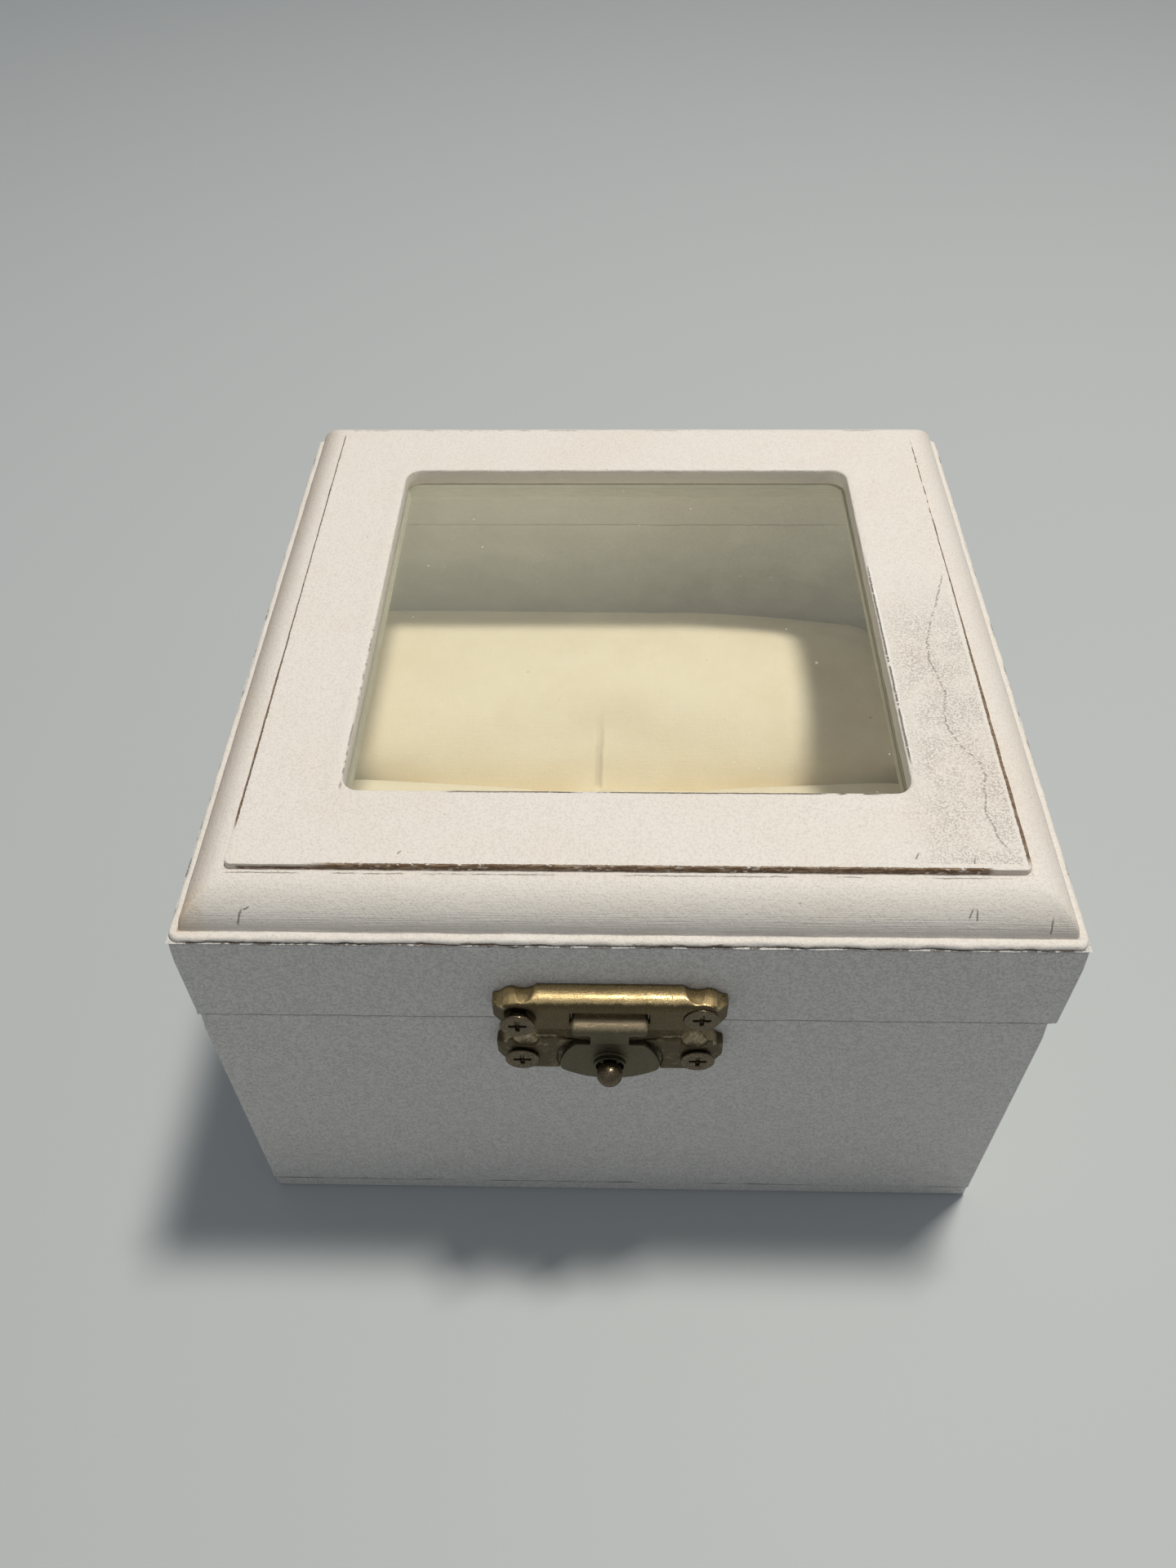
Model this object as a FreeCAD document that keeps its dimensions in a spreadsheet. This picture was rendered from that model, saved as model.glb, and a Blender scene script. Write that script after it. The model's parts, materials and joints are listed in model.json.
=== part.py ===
import FreeCAD, Part
import math
import os
import re

import Sketcher

# A small hinged wooden box with a glazed lid, a padded insert and a pressed-metal hasp.
# Millimetres, +Z up. The origin is the centre of the underside.
# The hasp is on the -Y side and the hinges are on the +Y side.

# --------------------------------------------------------------------------------------------------
# Driving dimensions: name, value, meaning
# --------------------------------------------------------------------------------------------------

DIMENSIONS = [
    # wooden carcase
    ("box_width", 120, "outside of the base, left to right"),
    ("box_depth", 120, "outside of base and lid, front to back"),
    ("base_height", 56, "top of the base walls above the table"),
    ("wall_thickness", 5, "base walls and lid rails"),
    ("bottom_thickness", 3, "board glued under the base walls"),
    ("lid_gap", 0.25, "open seam that the hinges leave under the lid"),
    ("lid_overhang", 0.8, "how far the lid stands past the base on the right"),
    ("rail_height", 17, "lid rails, seam to the underside of the top panel"),
    ("corner_round", 0.9, "sanded upright corners"),
    ("edge_ease", 0.4, "chamfer that eases the long edges"),
    # moulded top panel of the lid
    ("ledge_width", 1.6, "flat ledge outside the ovolo"),
    ("ledge_height", 0.8, "thickness of the panel at its ledge"),
    ("ovolo_size", 5.5, "quarter-round of the moulding"),
    ("shoulder_width", 0.6, "flat between the ovolo and the step"),
    ("field_step", 1.0, "upright step to the raised field"),
    ("frame_width", 13.3, "raised field between the step and the window"),
    ("window_corner", 2.6, "corner radius of the window"),
    ("lip_height", 3.0, "wood above the glass round the window"),
    ("glass_thickness", 2.0, "window pane"),
    ("rebate_width", 4.2, "how far the rebate runs past the window"),
    ("glass_clearance", 0.3, "play of the pane in its rebate"),
    ("field_ease", 0.25, "chamfer round the raised field and the window"),
    ("bead_round", 0.6, "eased inner edge of a glazing bead"),
    # padded insert
    ("cushion_gap", 0.3, "between a pad and what stands beside it"),
    ("cushion_crown", 47.5, "highest line of a pad above the table"),
    ("cushion_slit_drop", 3.5, "fall from the crown to the slit"),
    ("cushion_wall_drop", 13.5, "fall from the crown to the front or back wall"),
    ("cushion_end_round", 9, "round of a pad's left and right ends"),
    # butt hinges
    ("hinge_spread", 60, "between the middles of the two hinges"),
    ("hinge_length", 20, "leaf along the pin"),
    ("leaf_reach", 8, "leaf from the pin's axis to its free edge"),
    ("leaf_thickness", 0.7, "rolled brass sheet"),
    ("pin_size", 0.75, "radius of the hinge pin"),
    ("pin_clearance", 0.05, "pin in its knuckles, radial"),
    ("knuckle_gap", 0.2, "between neighbouring knuckles"),
    ("knuckle_standoff", 0.1, "knuckles clear of the wood"),
    ("hinge_screw_spread", 11, "between the two screws of a leaf"),
    ("hinge_screw_drop", 5.2, "screws from the pin's axis"),
    ("hinge_screw_head", 1.5, "radius of a countersunk head"),
    ("hinge_screw_shank", 0.7, "radius of the shank"),
    ("hinge_screw_length", 3.6, "depth in the wood"),
    # hasp plates
    ("latch_shift", -1.5, "middle of the hasp from the middle of the front"),
    ("plate_bar", 9.9, "half the straight middle of a pressed plate"),
    ("plate_bite_width", 3.8, "width of the bite over a screw"),
    ("plate_ear", 2.3, "ear past the bite"),
    ("plate_ear_peak", 0.7, "flat top of an ear"),
    ("plate_shoulder", 0.7, "ear's top below the straight middle's"),
    ("plate_sheet", 0.7, "pressed sheet"),
    ("plate_hole_offset", 2.55, "screws from the end of the straight middle"),
    ("hasp_plate_rise", 5.9, "middle of the upper plate above the base's top"),
    ("hasp_plate_half", 3.1, "half height of the upper plate"),
    ("hasp_ear_top", 1.0, "upper end of its ears' tips above its middle"),
    ("hasp_ear_foot", 2.2, "lower end of its ears' tips below its middle"),
    ("hasp_plate_depth", 3.4, "how proud the upper plate stands"),
    ("hasp_plate_round", 1.7, "round along its upper front edge"),
    ("hasp_ear_depth", 1.8, "how proud its ears stand at their tips"),
    ("hasp_screw_drop", 0.4, "its screws below its middle"),
    ("hasp_seat", 1.65, "metal under its screw heads"),
    ("hasp_roof", 1.1, "metal left over the hollow behind it"),
    ("hasp_bite_size", 2.2, "radius at the wood of the cone that bites its upper edge"),
    ("hasp_bite_reach", 11.5, "from the wood to that cone's point"),
    ("hasp_bite_rise", 1.1, "that cone's axis above the plate's upper edge"),
    ("crossbar_half", 0.85, "half height of the bar left under the slot"),
    ("hasp_slot_height", 2.3, "height of the slot over the crossbar"),
    ("catch_plate_fall", 4.7, "middle of the lower plate below the base's top"),
    ("catch_plate_half", 4.1, "half height of the lower plate"),
    ("catch_ear_top", 1.3, "upper end of its ears' tips above its middle"),
    ("catch_ear_foot", 1.5, "lower end of its ears' tips below its middle"),
    ("catch_plate_depth", 2.7, "how proud the lower plate stands"),
    ("catch_plate_round", 0.8, "round along its upper front edge"),
    ("catch_ear_depth", 1.7, "how proud its ears stand at their tips"),
    ("catch_screw_drop", 1.1, "its screws below its middle"),
    ("catch_seat", 1.4, "metal under its screw heads"),
    ("catch_roof", 2.1, "metal left over the hollow behind it"),
    ("catch_dip", 1.3, "dip of its upper edge below the flap's curl"),
    ("catch_dip_half", 7.6, "half width of the dip"),
    ("catch_bite_size", 2.0, "radius at the plate's face of the cone that bites its upper edge"),
    ("catch_bite_reach", 2.4, "from the plate's face to that cone's point"),
    ("catch_bite_drop", 0.6, "that cone's axis below the plate's upper edge"),
    ("catch_panel_depth", 2.1, "how proud its sunk round panel stands"),
    ("catch_rim", 2.1, "face left over the sunk panel"),
    ("catch_panel_gap", 0.5, "sunk panel past the flap's fan"),
    # hasp flap and stud
    ("curl_width", 10.4, "rolled top of the flap"),
    ("curl_clearance", 0.1, "curl round the crossbar"),
    ("curl_side_gap", 0.2, "curl to each end of the slot"),
    ("curl_slit", 0.5, "opening left where the curl closes behind the crossbar"),
    ("curl_ease", 0.35, "chamfer round the ends of the curl"),
    ("flap_sheet", 0.65, "flap"),
    ("neck_half", 2.6, "half width of the flap's neck"),
    ("neck_bend", 2.4, "start of the bend below the axis"),
    ("neck_bend_length", 1.2, "length of the bend"),
    ("fan_top", 4.4, "shoulders of the fan below the axis"),
    ("fan_shoulder", 4.7, "half width of the fan at its shoulders"),
    ("fan_half", 7.05, "half width of the fan"),
    ("fan_widest", 10, "widest line of the fan below the axis"),
    ("fan_side_round", 9, "radius of the fan's sides"),
    ("fan_corner", 1.6, "height and radius of the fan's lower corners"),
    ("fan_corner_width", 0.85, "width of the fan's lower corners"),
    ("fan_belly", 2, "sag of the fan's lower edge"),
    ("stud_drop", 8.5, "stud below the flap's axis"),
    ("stud_reach", 2.85, "middle of the ball outward of the flap's axis"),
    ("ball_size", 1.8, "radius of the stud's ball"),
    ("stud_neck", 0.95, "radius of the stud's neck"),
    ("stud_flange", 1.6, "radius of the stud's riveted tail and of its shoulder"),
    ("stud_shoulder", 0.4, "height of the stud's shoulder"),
    ("swing_clearance", 0.1, "flap's eye past the ball as it swings"),
    ("eye_wall", 0.25, "sheet round the flap's eye"),
    ("eye_flare", 0.1, "how much the eye's rim flares"),
    ("eye_rise", 0.9, "rim of the eye above the flap"),
    # countersunk screws of the hasp
    ("screw_head", 2.4, "radius of a countersunk head"),
    ("screw_head_height", 1.9, "height of the head"),
    ("screw_head_edge", 0.25, "height of the edge round the head's flat face"),
    ("screw_shank", 1.05, "radius of the shank"),
    ("screw_length", 3.4, "depth in the wood"),
    ("screw_backed_out", 1.2, "how far the upper left screw is backed out"),
    ("screw_slot_width", 0.6, "arm of the cross recess"),
    ("screw_slot_reach", 1.25, "cross recess from the screw's axis"),
    ("screw_slot_depth", 0.6, "depth of the cross recess"),
    ("pilot_clearance", 0.03, "shank in its pilot hole, radial"),
    ("pilot_extra", 0.3, "pilot hole past the screw's tip"),
]

document = FreeCAD.newDocument("keepsake_box")
sheet = document.addObject("Spreadsheet::Sheet", "Sizes")
for row, (name, value, meaning) in enumerate(DIMENSIONS, start=1):
    sheet.set(f"A{row}", name)
    sheet.set(f"B{row}", str(value))
    sheet.set(f"C{row}", meaning)
    sheet.setAlias(f"B{row}", name)
document.recompute()

NAMES = {name for name, value, meaning in DIMENSIONS}

# --------------------------------------------------------------------------------------------------
# Sizes that follow from the driving dimensions
# --------------------------------------------------------------------------------------------------

FRONT = "(-box_depth / 2)"
BACK = "(box_depth / 2)"
INNER_HALF_WIDTH = "(box_width / 2 - wall_thickness)"
INNER_HALF_DEPTH = "(box_depth / 2 - wall_thickness)"
LID_WIDTH = "(box_width + lid_overhang)"
LID_MIDDLE = "(lid_overhang / 2)"
LID_BOTTOM = "(base_height + lid_gap)"
RAIL_TOP = f"({LID_BOTTOM} + rail_height)"
PANEL_THICKNESS = "(ledge_height + ovolo_size + field_step)"
FIELD_INSET = "(ledge_width + ovolo_size + shoulder_width)"
WINDOW_HALF_WIDTH = f"({LID_WIDTH} / 2 - {FIELD_INSET} - frame_width)"
WINDOW_HALF_DEPTH = f"(box_depth / 2 - {FIELD_INSET} - frame_width)"
REBATE_DEPTH = f"({PANEL_THICKNESS} - lip_height)"
BEAD_HEIGHT = f"({REBATE_DEPTH} - glass_thickness)"
HINGE_AXIS_Y = "(box_depth / 2 + knuckle_standoff + pin_size + pin_clearance + leaf_thickness)"
HINGE_AXIS_Z = "(base_height + lid_gap / 2)"
KNUCKLE = "(pin_size + pin_clearance + leaf_thickness)"
AXIS_TO_WOOD = f"({KNUCKLE} + knuckle_standoff)"
HASP_PLATE_Z = "(base_height + hasp_plate_rise)"
CATCH_PLATE_Z = "(base_height - catch_plate_fall)"
PLATE_HOLE = "(plate_bar + plate_hole_offset)"
PLATE_PEAK = "(plate_bar + plate_bite_width)"
PLATE_TIP = f"({PLATE_PEAK} + plate_ear)"
BITE_X = "(plate_bar + plate_bite_width / 2)"
PANEL_ROUND = "(fan_half + catch_panel_gap)"
HASP_SCREW_Z = f"({HASP_PLATE_Z} - hasp_screw_drop)"
CATCH_SCREW_Z = f"({CATCH_PLATE_Z} - catch_screw_drop)"
CROSSBAR_DROP = "(hasp_plate_half - crossbar_half)"
CURL_BORE = "(sqrt(crossbar_half ^ 2 + (plate_sheet / 2) ^ 2) + curl_clearance)"
CURL = f"({CURL_BORE} + flap_sheet)"
FLAP_AXIS_OUT = "(hasp_plate_depth - plate_sheet / 2)"
FLAP_AXIS_Z = f"({HASP_PLATE_Z} - {CROSSBAR_DROP})"
SLOT_HALF = "(curl_width / 2 + curl_side_gap)"
# The eye swings over the ball on an arc. At the sheet it clears the ball's far side, and at its rim the
# ball's near side.
BALL_ARC = "sqrt(stud_reach ^ 2 + stud_drop ^ 2)"
EYE_LOW = f"({BALL_ARC} + ball_size + swing_clearance)"
EYE_HIGH = f"sqrt(({BALL_ARC} - ball_size - swing_clearance) ^ 2 - (flap_sheet + eye_rise) ^ 2)"
EYE_RADIUS = f"(({EYE_LOW} - {EYE_HIGH}) / 2)"
EYE_DROP = f"(({EYE_LOW} + {EYE_HIGH}) / 2)"
STUD_Z = f"({FLAP_AXIS_Z} - stud_drop)"
BALL_OUT = f"({FLAP_AXIS_OUT} + stud_reach)"


def cell(text):
    """Turn an expression in plain dimension names into one that reads the sheet."""
    return re.sub(r"[a-z_]+", lambda word: ("Sizes." if word.group() in NAMES else "") + word.group(), text)


def size(text):
    """Present value of an expression in plain dimension names."""
    return float(sheet.evalExpression(cell(text)))


# --------------------------------------------------------------------------------------------------
# Sketch and feature helpers
# --------------------------------------------------------------------------------------------------

OUT = 1    # an arc that swells away from the material
IN = -1    # an arc that bites into it
pieces = []


def new_body(label, x="0", y="0", z="0", node=True):
    """A PartDesign body whose own origin lies at x, y, z."""
    body = document.addObject("PartDesign::Body", label)
    body.Label = label
    for axis, text in (("x", x), ("y", y), ("z", z)):
        body.setExpression(f"Placement.Base.{axis}", cell(text))
    if node:
        pieces.append(body)
    return body


def new_sketch(body, plane, offset="0", right="0"):
    """A sketch on one of the body's own origin planes, moved along that plane's normal and to its right."""
    sketch = body.newObject("Sketcher::SketchObject", f"{body.Name}_sketch")
    role = f"{plane}_Plane"
    support = [feature for feature in body.Origin.OriginFeatures if feature.Role == role]
    sketch.AttachmentSupport = [(support[0], "")]
    sketch.MapMode = "FlatFace"
    sketch.setExpression("AttachmentOffset.Base.z", cell(offset))
    sketch.setExpression("AttachmentOffset.Base.x", cell(right))
    return sketch


def fix(sketch, kind, name, text, *reference):
    """Add one constraint and bind it to an expression."""
    index = sketch.addConstraint(Sketcher.Constraint(kind, *reference, size(text)))
    sketch.renameConstraint(index, name)
    sketch.setExpression(f"Constraints.{name}", cell(text))


def trace(sketch, corners):
    """Close an outline, counter-clockwise, through corners of (x, y) or (x, y, arc radius, OUT or IN)."""
    first = sketch.GeometryCount
    count = len(corners)
    places = [FreeCAD.Vector(size(corner[0]), size(corner[1]), 0) for corner in corners]
    starts = []
    for number, corner in enumerate(corners):
        start = places[number]
        end = places[(number + 1) % count]
        if len(corner) == 2:
            sketch.addGeometry(Part.LineSegment(start, end), False)
            starts.append(1)
            continue
        radius = size(corner[2])
        chord = end - start
        outward = FreeCAD.Vector(chord.y, -chord.x, 0).normalize()
        sagitta = radius - math.sqrt(max(radius ** 2 - chord.Length ** 2 / 4, 0))
        through = (start + end) * 0.5 + outward * (sagitta * corner[3])
        sketch.addGeometry(Part.Arc(start, through, end), False)
        starts.append(1 if corner[3] == OUT else 2)
    for number in range(count):
        following = (number + 1) % count
        sketch.addConstraint(Sketcher.Constraint("Coincident", first + number, 3 - starts[number],
                                                 first + following, starts[following]))
    for number, corner in enumerate(corners):
        edge = first + number
        fix(sketch, "DistanceX", f"across{edge}", corner[0], -1, 1, edge, starts[number])
        fix(sketch, "DistanceY", f"along{edge}", corner[1], -1, 1, edge, starts[number])
        if len(corner) == 4:
            fix(sketch, "Radius", f"round{edge}", corner[2], edge)


def rectangle(sketch, left, right, low, high):
    trace(sketch, [(left, low), (right, low), (right, high), (left, high)])


def rounded_rectangle(sketch, half_width, half_depth, radius):
    """A rectangle about the sketch's origin with four round corners."""
    trace(sketch, [
        (f"-{half_width} + {radius}", f"-{half_depth}"),
        (f"{half_width} - {radius}", f"-{half_depth}", radius, OUT),
        (f"{half_width}", f"-{half_depth} + {radius}"),
        (f"{half_width}", f"{half_depth} - {radius}", radius, OUT),
        (f"{half_width} - {radius}", f"{half_depth}"),
        (f"-{half_width} + {radius}", f"{half_depth}", radius, OUT),
        (f"-{half_width}", f"{half_depth} - {radius}"),
        (f"-{half_width}", f"-{half_depth} + {radius}", radius, OUT),
    ])


def circle(sketch, x, y, radius):
    index = sketch.addGeometry(Part.Circle(FreeCAD.Vector(size(x), size(y), 0), FreeCAD.Vector(0, 0, 1),
                                           size(radius)), False)
    fix(sketch, "DistanceX", f"across{index}", x, -1, 1, index, 3)
    fix(sketch, "DistanceY", f"along{index}", y, -1, 1, index, 3)
    fix(sketch, "Radius", f"round{index}", radius, index)


def pad(body, sketch, length, symmetric=False, reverse=False):
    feature = body.newObject("PartDesign::Pad", f"{body.Name}_pad")
    feature.Profile = sketch
    feature.SideType = "Symmetric" if symmetric else "One side"
    feature.Reversed = reverse
    feature.setExpression("Length", cell(length))
    document.recompute()
    return feature


def pocket(body, sketch, length=None, symmetric=False, reverse=False):
    """Cut a sketch's regions, to a length or right through; reverse cuts along the sketch's normal."""
    feature = body.newObject("PartDesign::Pocket", f"{body.Name}_pocket")
    feature.Profile = sketch
    feature.SideType = "Symmetric" if symmetric else "One side"
    feature.Reversed = reverse
    if length is None:
        feature.Type = "ThroughAll"
    else:
        feature.setExpression("Length", cell(length))
    before = feature.BaseFeature.Shape.Volume
    document.recompute()
    if feature.Shape.Volume > before - 1e-6:
        raise RuntimeError(f"{feature.Name} cuts nothing")
    return feature


def revolve(body, sketch, groove=False):
    """Turn a sketch about its own vertical axis."""
    kind = "Groove" if groove else "Revolution"
    feature = body.newObject(f"PartDesign::{kind}", f"{body.Name}_turned")
    feature.Profile = sketch
    feature.ReferenceAxis = (sketch, ["V_Axis"])
    feature.Angle = 360
    document.recompute()
    return feature


def edges_where(body, test):
    """Names of the body's present edges whose middle point and direction pass a test."""
    names = []
    for index, edge in enumerate(body.Tip.Shape.Edges, start=1):
        middle = edge.valueAt((edge.FirstParameter + edge.LastParameter) / 2)
        direction = edge.tangentAt((edge.FirstParameter + edge.LastParameter) / 2)
        if test(middle, direction):
            names.append(f"Edge{index}")
    return names


def dress_edges(body, kind, property_name, text, test):
    """Fillet or chamfer the edges that pass a test."""
    names = edges_where(body, test)
    if not names:
        raise RuntimeError(f"{body.Label}: no edge to ease")
    base = body.Tip
    feature = body.newObject(f"PartDesign::{kind}", f"{body.Name}_{kind.lower()}")
    feature.Base = (base, names)
    feature.setExpression(property_name, cell(text))
    document.recompute()
    return feature


def fillet(body, radius, test):
    return dress_edges(body, "Fillet", "Radius", radius, test)


def chamfer(body, width, test):
    return dress_edges(body, "Chamfer", "Size", width, test)


def near(value, text):
    return abs(value - size(text)) < 1e-4


def cut_holes(body, plane, offset, places, radius, length=None, reverse=False):
    """Round holes at (x, y) places of one plane."""
    sketch = new_sketch(body, plane, offset)
    for x, y in places:
        circle(sketch, x, y, radius)
    pocket(body, sketch, length, reverse=reverse)


# --------------------------------------------------------------------------------------------------
# Wooden carcase
# --------------------------------------------------------------------------------------------------

MARGIN = "1"   # how far a cutting outline runs past the material


def plank(label, place, half_x, half_y, height, outer, open_ends):
    """An upright board, sanded along its outside top edge; outer is its outside direction."""
    body = new_body(label, *place)
    sketch = new_sketch(body, "XY")
    rectangle(sketch, f"-{half_x}", half_x, f"-{half_y}", half_y)
    pad(body, sketch, height)
    outside = FreeCAD.Vector(*outer)
    reach = abs(outside.x) * size(half_x) + abs(outside.y) * size(half_y)
    if open_ends:
        fillet(body, "corner_round",
               lambda middle, direction: abs(direction.z) > 0.9 and abs(middle * outside - reach) < 1e-4)
    chamfer(body, "edge_ease",
            lambda middle, direction: (near(middle.z, height) and middle * outside > 1e-4 - reach
                                       and (open_ends or middle * outside > reach - 1e-4)))
    return body


def make_frame(prefix, part, middle_x, bottom, width, height):
    """Four boards butted round a rectangle: front and back run through, the others stand between them."""
    half_wall = "wall_thickness / 2"
    across = f"({width} / 2)"
    outward = "(box_depth / 2 - wall_thickness / 2)"
    sideways = f"({width} / 2 - wall_thickness / 2)"
    boards = {}
    for side, sign in (("front", -1), ("back", 1)):
        boards[side] = plank(f"{prefix}_{side}_{part}", (middle_x, f"{sign} * {outward}", bottom), across,
                             f"({half_wall})", height, (0, sign, 0), True)
    for side, sign in (("left", -1), ("right", 1)):
        boards[side] = plank(f"{prefix}_{side}_{part}", (f"{middle_x} + {sign} * {sideways}", "0", bottom),
                             f"({half_wall})", INNER_HALF_DEPTH, height, (sign, 0, 0), False)
    return boards


def drill(board, plane_shift, places, radius, depth, from_front):
    """Pilot holes in the outside of a front or back board; places are in the board's own x and z."""
    sketch = new_sketch(board, "XZ", plane_shift)
    for x, z in places:
        circle(sketch, x, z, radius)
    pocket(board, sketch, depth, reverse=not from_front)


def make_base():
    height = "(base_height - bottom_thickness)"
    boards = make_frame("base", "wall", "0", "bottom_thickness", "box_width", height)
    catch_z = f"({CATCH_SCREW_Z} - bottom_thickness)"
    drill(boards["front"], "wall_thickness / 2",
          [(f"latch_shift + {sign} * {PLATE_HOLE}", f"{catch_z}") for sign in (-1, 1)],
          "(screw_shank + pilot_clearance)", "(screw_length + pilot_extra)", True)
    drill(boards["back"], "-wall_thickness / 2",
          [(x, f"({HINGE_AXIS_Z} - hinge_screw_drop - bottom_thickness)") for x in hinge_screw_places("0")],
          "(hinge_screw_shank + pilot_clearance)", "(hinge_screw_length + pilot_extra)", False)
    body = new_body("base_bottom_panel")
    sketch = new_sketch(body, "XY")
    rectangle(sketch, "-box_width / 2", "box_width / 2", "-box_depth / 2", "box_depth / 2")
    pad(body, sketch, "bottom_thickness")
    fillet(body, "corner_round", lambda middle, direction: abs(direction.z) > 0.9)
    chamfer(body, "edge_ease", lambda middle, direction: abs(middle.z) < 1e-4)


def hinge_screw_places(middle_x):
    """Both screws of both hinges, from a board's own middle."""
    places = []
    for hinge in (-1, 1):
        for screw in (-1, 1):
            places.append(f"({hinge} * hinge_spread / 2 + {screw} * hinge_screw_spread / 2 - {middle_x})")
    return places


def make_lid_frame():
    boards = make_frame("lid", "rail", LID_MIDDLE, LID_BOTTOM, LID_WIDTH, "rail_height")
    plate_z = f"({HASP_SCREW_Z} - {LID_BOTTOM})"
    drill(boards["front"], "wall_thickness / 2",
          [(f"latch_shift + {sign} * {PLATE_HOLE} - {LID_MIDDLE}", plate_z) for sign in (-1, 1)],
          "(screw_shank + pilot_clearance)", "(screw_length + pilot_extra)", True)
    hinge_z = f"({HINGE_AXIS_Z} + hinge_screw_drop - {LID_BOTTOM})"
    drill(boards["back"], "-wall_thickness / 2", [(x, hinge_z) for x in hinge_screw_places(LID_MIDDLE)],
          "(hinge_screw_shank + pilot_clearance)", "(hinge_screw_length + pilot_extra)", False)


def moulding_half(edge, sign):
    """Upper outline of the moulding from the ledge's outer edge inward, on the side that sign gives."""
    return [
        (f"{sign} * {edge}", "ledge_height"),
        (f"{sign} * ({edge} - ledge_width)", "ledge_height"),
        (f"{sign} * ({edge} - ledge_width - ovolo_size)", "ledge_height + ovolo_size"),
        (f"{sign} * ({edge} - {FIELD_INSET})", "ledge_height + ovolo_size"),
    ]


def make_top_panel():
    """One board: its moulding is run along all four sides and meets in mitres at the corners."""
    body = new_body("lid_top_panel", LID_MIDDLE, "0", RAIL_TOP)
    across = f"({LID_WIDTH} / 2)"
    along = BACK
    sketch = new_sketch(body, "XZ")
    right = moulding_half(across, 1)
    left = moulding_half(across, -1)
    trace(sketch, [
        (f"-{across}", "0"), (across, "0"),
        right[0], (*right[1], "ovolo_size", OUT), right[2], right[3],
        (right[3][0], PANEL_THICKNESS), (left[3][0], PANEL_THICKNESS),
        left[3], (*left[2], "ovolo_size", OUT), left[1], left[0],
    ])
    pad(body, sketch, "box_depth", symmetric=True)
    sketch = new_sketch(body, "YZ")
    front = moulding_half(along, -1)
    back = moulding_half(along, 1)
    above = f"({PANEL_THICKNESS} + {MARGIN})"
    trace(sketch, [
        (f"-{along} - {MARGIN}", "ledge_height"), (*front[1], "ovolo_size", IN), front[2], front[3],
        (front[3][0], above), (f"-{along} - {MARGIN}", above),
    ])
    trace(sketch, [
        (f"{along} + {MARGIN}", "ledge_height"), (f"{along} + {MARGIN}", above),
        (back[3][0], above), back[3], (*back[2], "ovolo_size", IN), back[1],
    ])
    pocket(body, sketch, f"{LID_WIDTH} + 2 * {MARGIN}", symmetric=True)
    fillet(body, "corner_round",
           lambda middle, direction: (abs(direction.z) > 0.9 and abs(abs(middle.x) - size(across)) < 1e-4
                                      and abs(abs(middle.y) - size(along)) < 1e-4))
    sketch = new_sketch(body, "XY")
    rounded_rectangle(sketch, WINDOW_HALF_WIDTH, WINDOW_HALF_DEPTH, "window_corner")
    pocket(body, sketch, reverse=True)
    sketch = new_sketch(body, "XY")
    rectangle(sketch, f"-{WINDOW_HALF_WIDTH} - rebate_width", f"{WINDOW_HALF_WIDTH} + rebate_width",
              f"-{WINDOW_HALF_DEPTH} - rebate_width", f"{WINDOW_HALF_DEPTH} + rebate_width")
    pocket(body, sketch, REBATE_DEPTH, reverse=True)
    chamfer(body, "field_ease", lambda middle, direction: near(middle.z, PANEL_THICKNESS))
    chamfer(body, "edge_ease",
            lambda middle, direction: (near(middle.z, "ledge_height")
                                       and (abs(middle.x) > size(f"{across} - ledge_width / 2")
                                            or abs(middle.y) > size(f"{along} - ledge_width / 2"))))


def make_glazing():
    half_width = f"({WINDOW_HALF_WIDTH} + rebate_width)"
    half_depth = f"({WINDOW_HALF_DEPTH} + rebate_width)"
    body = new_body("window_glass", LID_MIDDLE, "0", f"{RAIL_TOP} + {BEAD_HEIGHT}")
    sketch = new_sketch(body, "XY")
    rectangle(sketch, f"-({half_width} - glass_clearance)", f"{half_width} - glass_clearance",
              f"-({half_depth} - glass_clearance)", f"{half_depth} - glass_clearance")
    pad(body, sketch, "glass_thickness")
    for side, sign in (("left", -1), ("right", 1)):
        x = f"{LID_MIDDLE} + {sign} * {WINDOW_HALF_WIDTH}"
        body = new_body(f"glazing_bead_{side}", x, "0", RAIL_TOP)
        sketch = new_sketch(body, "XY")
        inner_outer = sorted(["0", f"{sign} * rebate_width"], key=size)
        rectangle(sketch, *inner_outer, f"-{half_depth}", half_depth)
        pad(body, sketch, BEAD_HEIGHT)
        fillet(body, "bead_round", lambda middle, direction: abs(middle.z) < 1e-4 and abs(middle.x) < 1e-4)
    for side, sign in (("front", -1), ("back", 1)):
        body = new_body(f"glazing_bead_{side}", LID_MIDDLE, f"{sign} * {WINDOW_HALF_DEPTH}", RAIL_TOP)
        sketch = new_sketch(body, "XY")
        inner_outer = sorted(["0", f"{sign} * rebate_width"], key=size)
        rectangle(sketch, f"-{WINDOW_HALF_WIDTH}", WINDOW_HALF_WIDTH, *inner_outer)
        pad(body, sketch, BEAD_HEIGHT)
        fillet(body, "bead_round", lambda middle, direction: abs(middle.z) < 1e-4 and abs(middle.y) < 1e-4)


# --------------------------------------------------------------------------------------------------
# Padded insert
# --------------------------------------------------------------------------------------------------

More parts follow.
